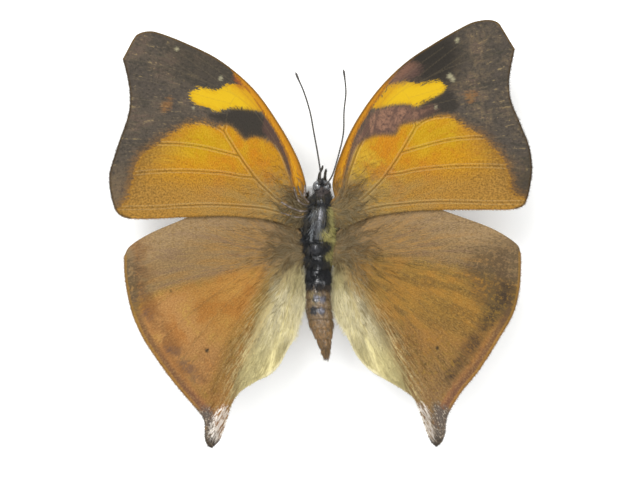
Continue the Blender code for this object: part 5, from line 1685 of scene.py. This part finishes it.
class BUTTERFLY_OT_mouthparts(bpy.types.Operator):
    """Builds the two palps, with their hair, and the coiled tongue"""

    bl_idname = "butterfly.mouthparts"
    bl_label = "Palps and tongue"

    def execute(self, context):
        settings = context.scene.butterfly_body
        grains = {"fleck": ((0.12, 0.25, 0.12), 2.0, 0.6)}
        # Palps: clothed in stiff dark hair with paler flecks; the tongue: bare amber-brown chitin
        skin = plain_paint("palp_chitin", linear("#2c2823"), 0.5, grains,
                           [(0.6, "#5a4f3e", ("fleck", 0.48, 0.62))], ("fleck", 0.4, 0.03))
        hair = plain_paint("palp_hair", linear("#34302b"), 0.5, grains,
                           [(0.6, "#7d725c", ("fleck", 0.5, 0.62))], ("fleck", 0.1, 0.01), 0.35)
        amber = plain_paint("tongue_chitin", linear("#4a2c16"), 0.3,
                            {"ring": ((0.09, 0.09, 0.09), 1.0, 0.5)},
                            [(0.5, "#2a190e", ("ring", 0.45, 0.6))], ("ring", 0.3, 0.02))
        for number, side_name in enumerate(SIDES):
            route = evenly(through(PALP_ROUTES[side_name]), 0.08)
            share = np.linspace(0.0, 1.0, len(route))
            widths = 0.21 * (1 - 0.45 * share) * np.sqrt(np.clip((1 - share) / 0.16, 0.1, 1.0))
            finish_tube(tube(f"palp_{side_name}_skin", route, widths, 3), skin, f"palp_{side_name}")
            coat = tube_hair("palp_strands", hair, route, widths, 420, 0.3, 0.026, 16, 300 + number)
            join(f"palp_{side_name}_hairs", [coat])
        shape_tongue(settings, amber)
        return {"FINISHED"}


class BUTTERFLY_OT_legs(bpy.types.Operator):
    """Builds the six legs, folded below the thorax, with bristles and claws"""

    bl_idname = "butterfly.legs"
    bl_label = "Legs"

    def execute(self, context):
        grains = {"fleck": ((0.15, 0.15, 0.15), 3.0, 0.6)}
        # Dry brown leg chitin clothed in flecks of pale scales
        skin = plain_paint("leg_chitin", linear("#4d3d2a"), 0.45, grains,
                           [(0.7, "#8d7a5b", ("fleck", 0.48, 0.62))], ("fleck", 0.4, 0.03))
        hair = plain_paint("leg_bristles", linear("#55452f"), 0.5, grains,
                           [(0.6, "#9a8968", ("fleck", 0.5, 0.62))], ("fleck", 0.1, 0.01), 0.35)
        for number, (kind, side_name) in enumerate(product(LEG_ROUTES, SIDES)):
            route, widths, pieces = shape_leg(kind, side_name, skin)
            # The forelegs are brushes: more hair, and longer
            count, length = (700, 0.55) if kind == "foreleg" else (420, 0.24)
            pieces.append(tube_hair("leg_strands", hair, route, widths, count, length, 0.025, 38,
                                    400 + number))
            leg = join(f"{kind}_{side_name}_limb", pieces)
            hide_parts(f"{kind}_{side_name}")
        return {"FINISHED"}


class BUTTERFLY_OT_stand(bpy.types.Operator):
    """Finishes the stand's solids and seats the thorax on its rod"""

    bl_idname = "butterfly.stand"
    bl_label = "Stand"

    def execute(self, context):
        # Cast white acrylic: even, slightly glossy, with the faintest cloud
        acrylic = plain_paint("white_cast_acrylic", linear("#eceded"), 0.22,
                              {"cloud": ((4.0, 4.0, 4.0), 2.0, 0.5)},
                              [(0.3, "#dfe1e2", ("cloud", 0.4, 0.65))], ("cloud", 0.03, 0.02))
        # Brushed steel: bright, with hair-fine rings from turning
        steel = plain_paint("brushed_steel", linear("#b9bcc0"), 0.3,
                            {"turning": ((6.0, 6.0, 0.06), 1.0, 0.5)},
                            [(0.4, "#8d9197", ("turning", 0.45, 0.6))], ("turning", 0.25, 0.01),
                            0.5, 1.0)
        for node, material in (("stand_base", acrylic), ("stand_rod", steel)):
            for held in frame["nodes"][node].material_slots:
                held.material = material
        # Setting wax: dull and slightly uneven, where the rod meets the body
        wax = plain_paint("setting_wax", linear("#cfc3a2"), 0.45, {"thumb": ((0.5, 0.5, 0.5), 2.0, 0.5)},
                          [(0.4, "#b5a67f", ("thumb", 0.45, 0.65))],
                          ("thumb", 0.4, 0.05))
        _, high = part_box("stand_rod")
        bpy.ops.object.select_all(action="DESELECT")
        bpy.ops.mesh.primitive_cone_add(vertices=48, radius1=0.8 * MM, radius2=1.35 * MM, depth=0.9 * MM,
                                        location=(0.0, 0.0, 0.0))
        cup = context.object
        cup.name = "stand_cup"
        bpy.ops.object.mode_set(mode="EDIT")
        bpy.ops.mesh.select_all(action="SELECT")
        bpy.ops.transform.translate(value=(0.0, 0.0, high[2] - 0.25 * MM))
        bpy.ops.mesh.bevel(offset=0.15 * MM, segments=4, affect="EDGES")
        bpy.ops.object.mode_set(mode="OBJECT")
        bpy.ops.object.shade_smooth_by_angle(angle=radians(40))
        cup.data.materials.append(wax)
        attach(cup, "root")
        return {"FINISHED"}


class BUTTERFLY_PT_pieces(bpy.types.Panel):
    """Lists the butterfly's pieces and settings"""

    bl_idname = "BUTTERFLY_PT_pieces"
    bl_label = "Autumn leaf butterfly"
    bl_space_type = "VIEW_3D"
    bl_region_type = "UI"
    bl_category = "Butterfly"

    def draw(self, context):
        for operator in OPERATORS:
            self.layout.operator(operator.bl_idname)
        for name, group in SETTINGS.items():
            box = self.layout.box()
            for prop in group.__annotations__:
                box.prop(getattr(context.scene, name), prop)


SETTINGS = {
    "butterfly_wings": ButterflyWings,
    "butterfly_coat": ButterflyCoat,
    "butterfly_body": ButterflyBody,
    "butterfly_stage": ButterflyStage,
}
OPERATORS = (
    BUTTERFLY_OT_stage, BUTTERFLY_OT_forewings, BUTTERFLY_OT_hindwings, BUTTERFLY_OT_wing_coat,
    BUTTERFLY_OT_skin, BUTTERFLY_OT_body_coat, BUTTERFLY_OT_eyes, BUTTERFLY_OT_feelers,
    BUTTERFLY_OT_mouthparts, BUTTERFLY_OT_legs, BUTTERFLY_OT_stand,
)


def register():
    """Registers the settings, the operators and the panel."""
    for group in (*SETTINGS.values(), *OPERATORS, BUTTERFLY_PT_pieces):
        bpy.utils.register_class(group)
    for name, group in SETTINGS.items():
        setattr(bpy.types.Scene, name, bpy.props.PointerProperty(type=group))


def unregister():
    """Takes them away again."""
    for name in SETTINGS:
        delattr(bpy.types.Scene, name)
    for group in reversed((*SETTINGS.values(), *OPERATORS, BUTTERFLY_PT_pieces)):
        bpy.utils.unregister_class(group)


def main():
    """Builds every piece in order."""
    register()
    for operator in OPERATORS:
        group, name = operator.bl_idname.split(".")
        getattr(getattr(bpy.ops, group), name)()


if __name__ == "__main__":
    main()
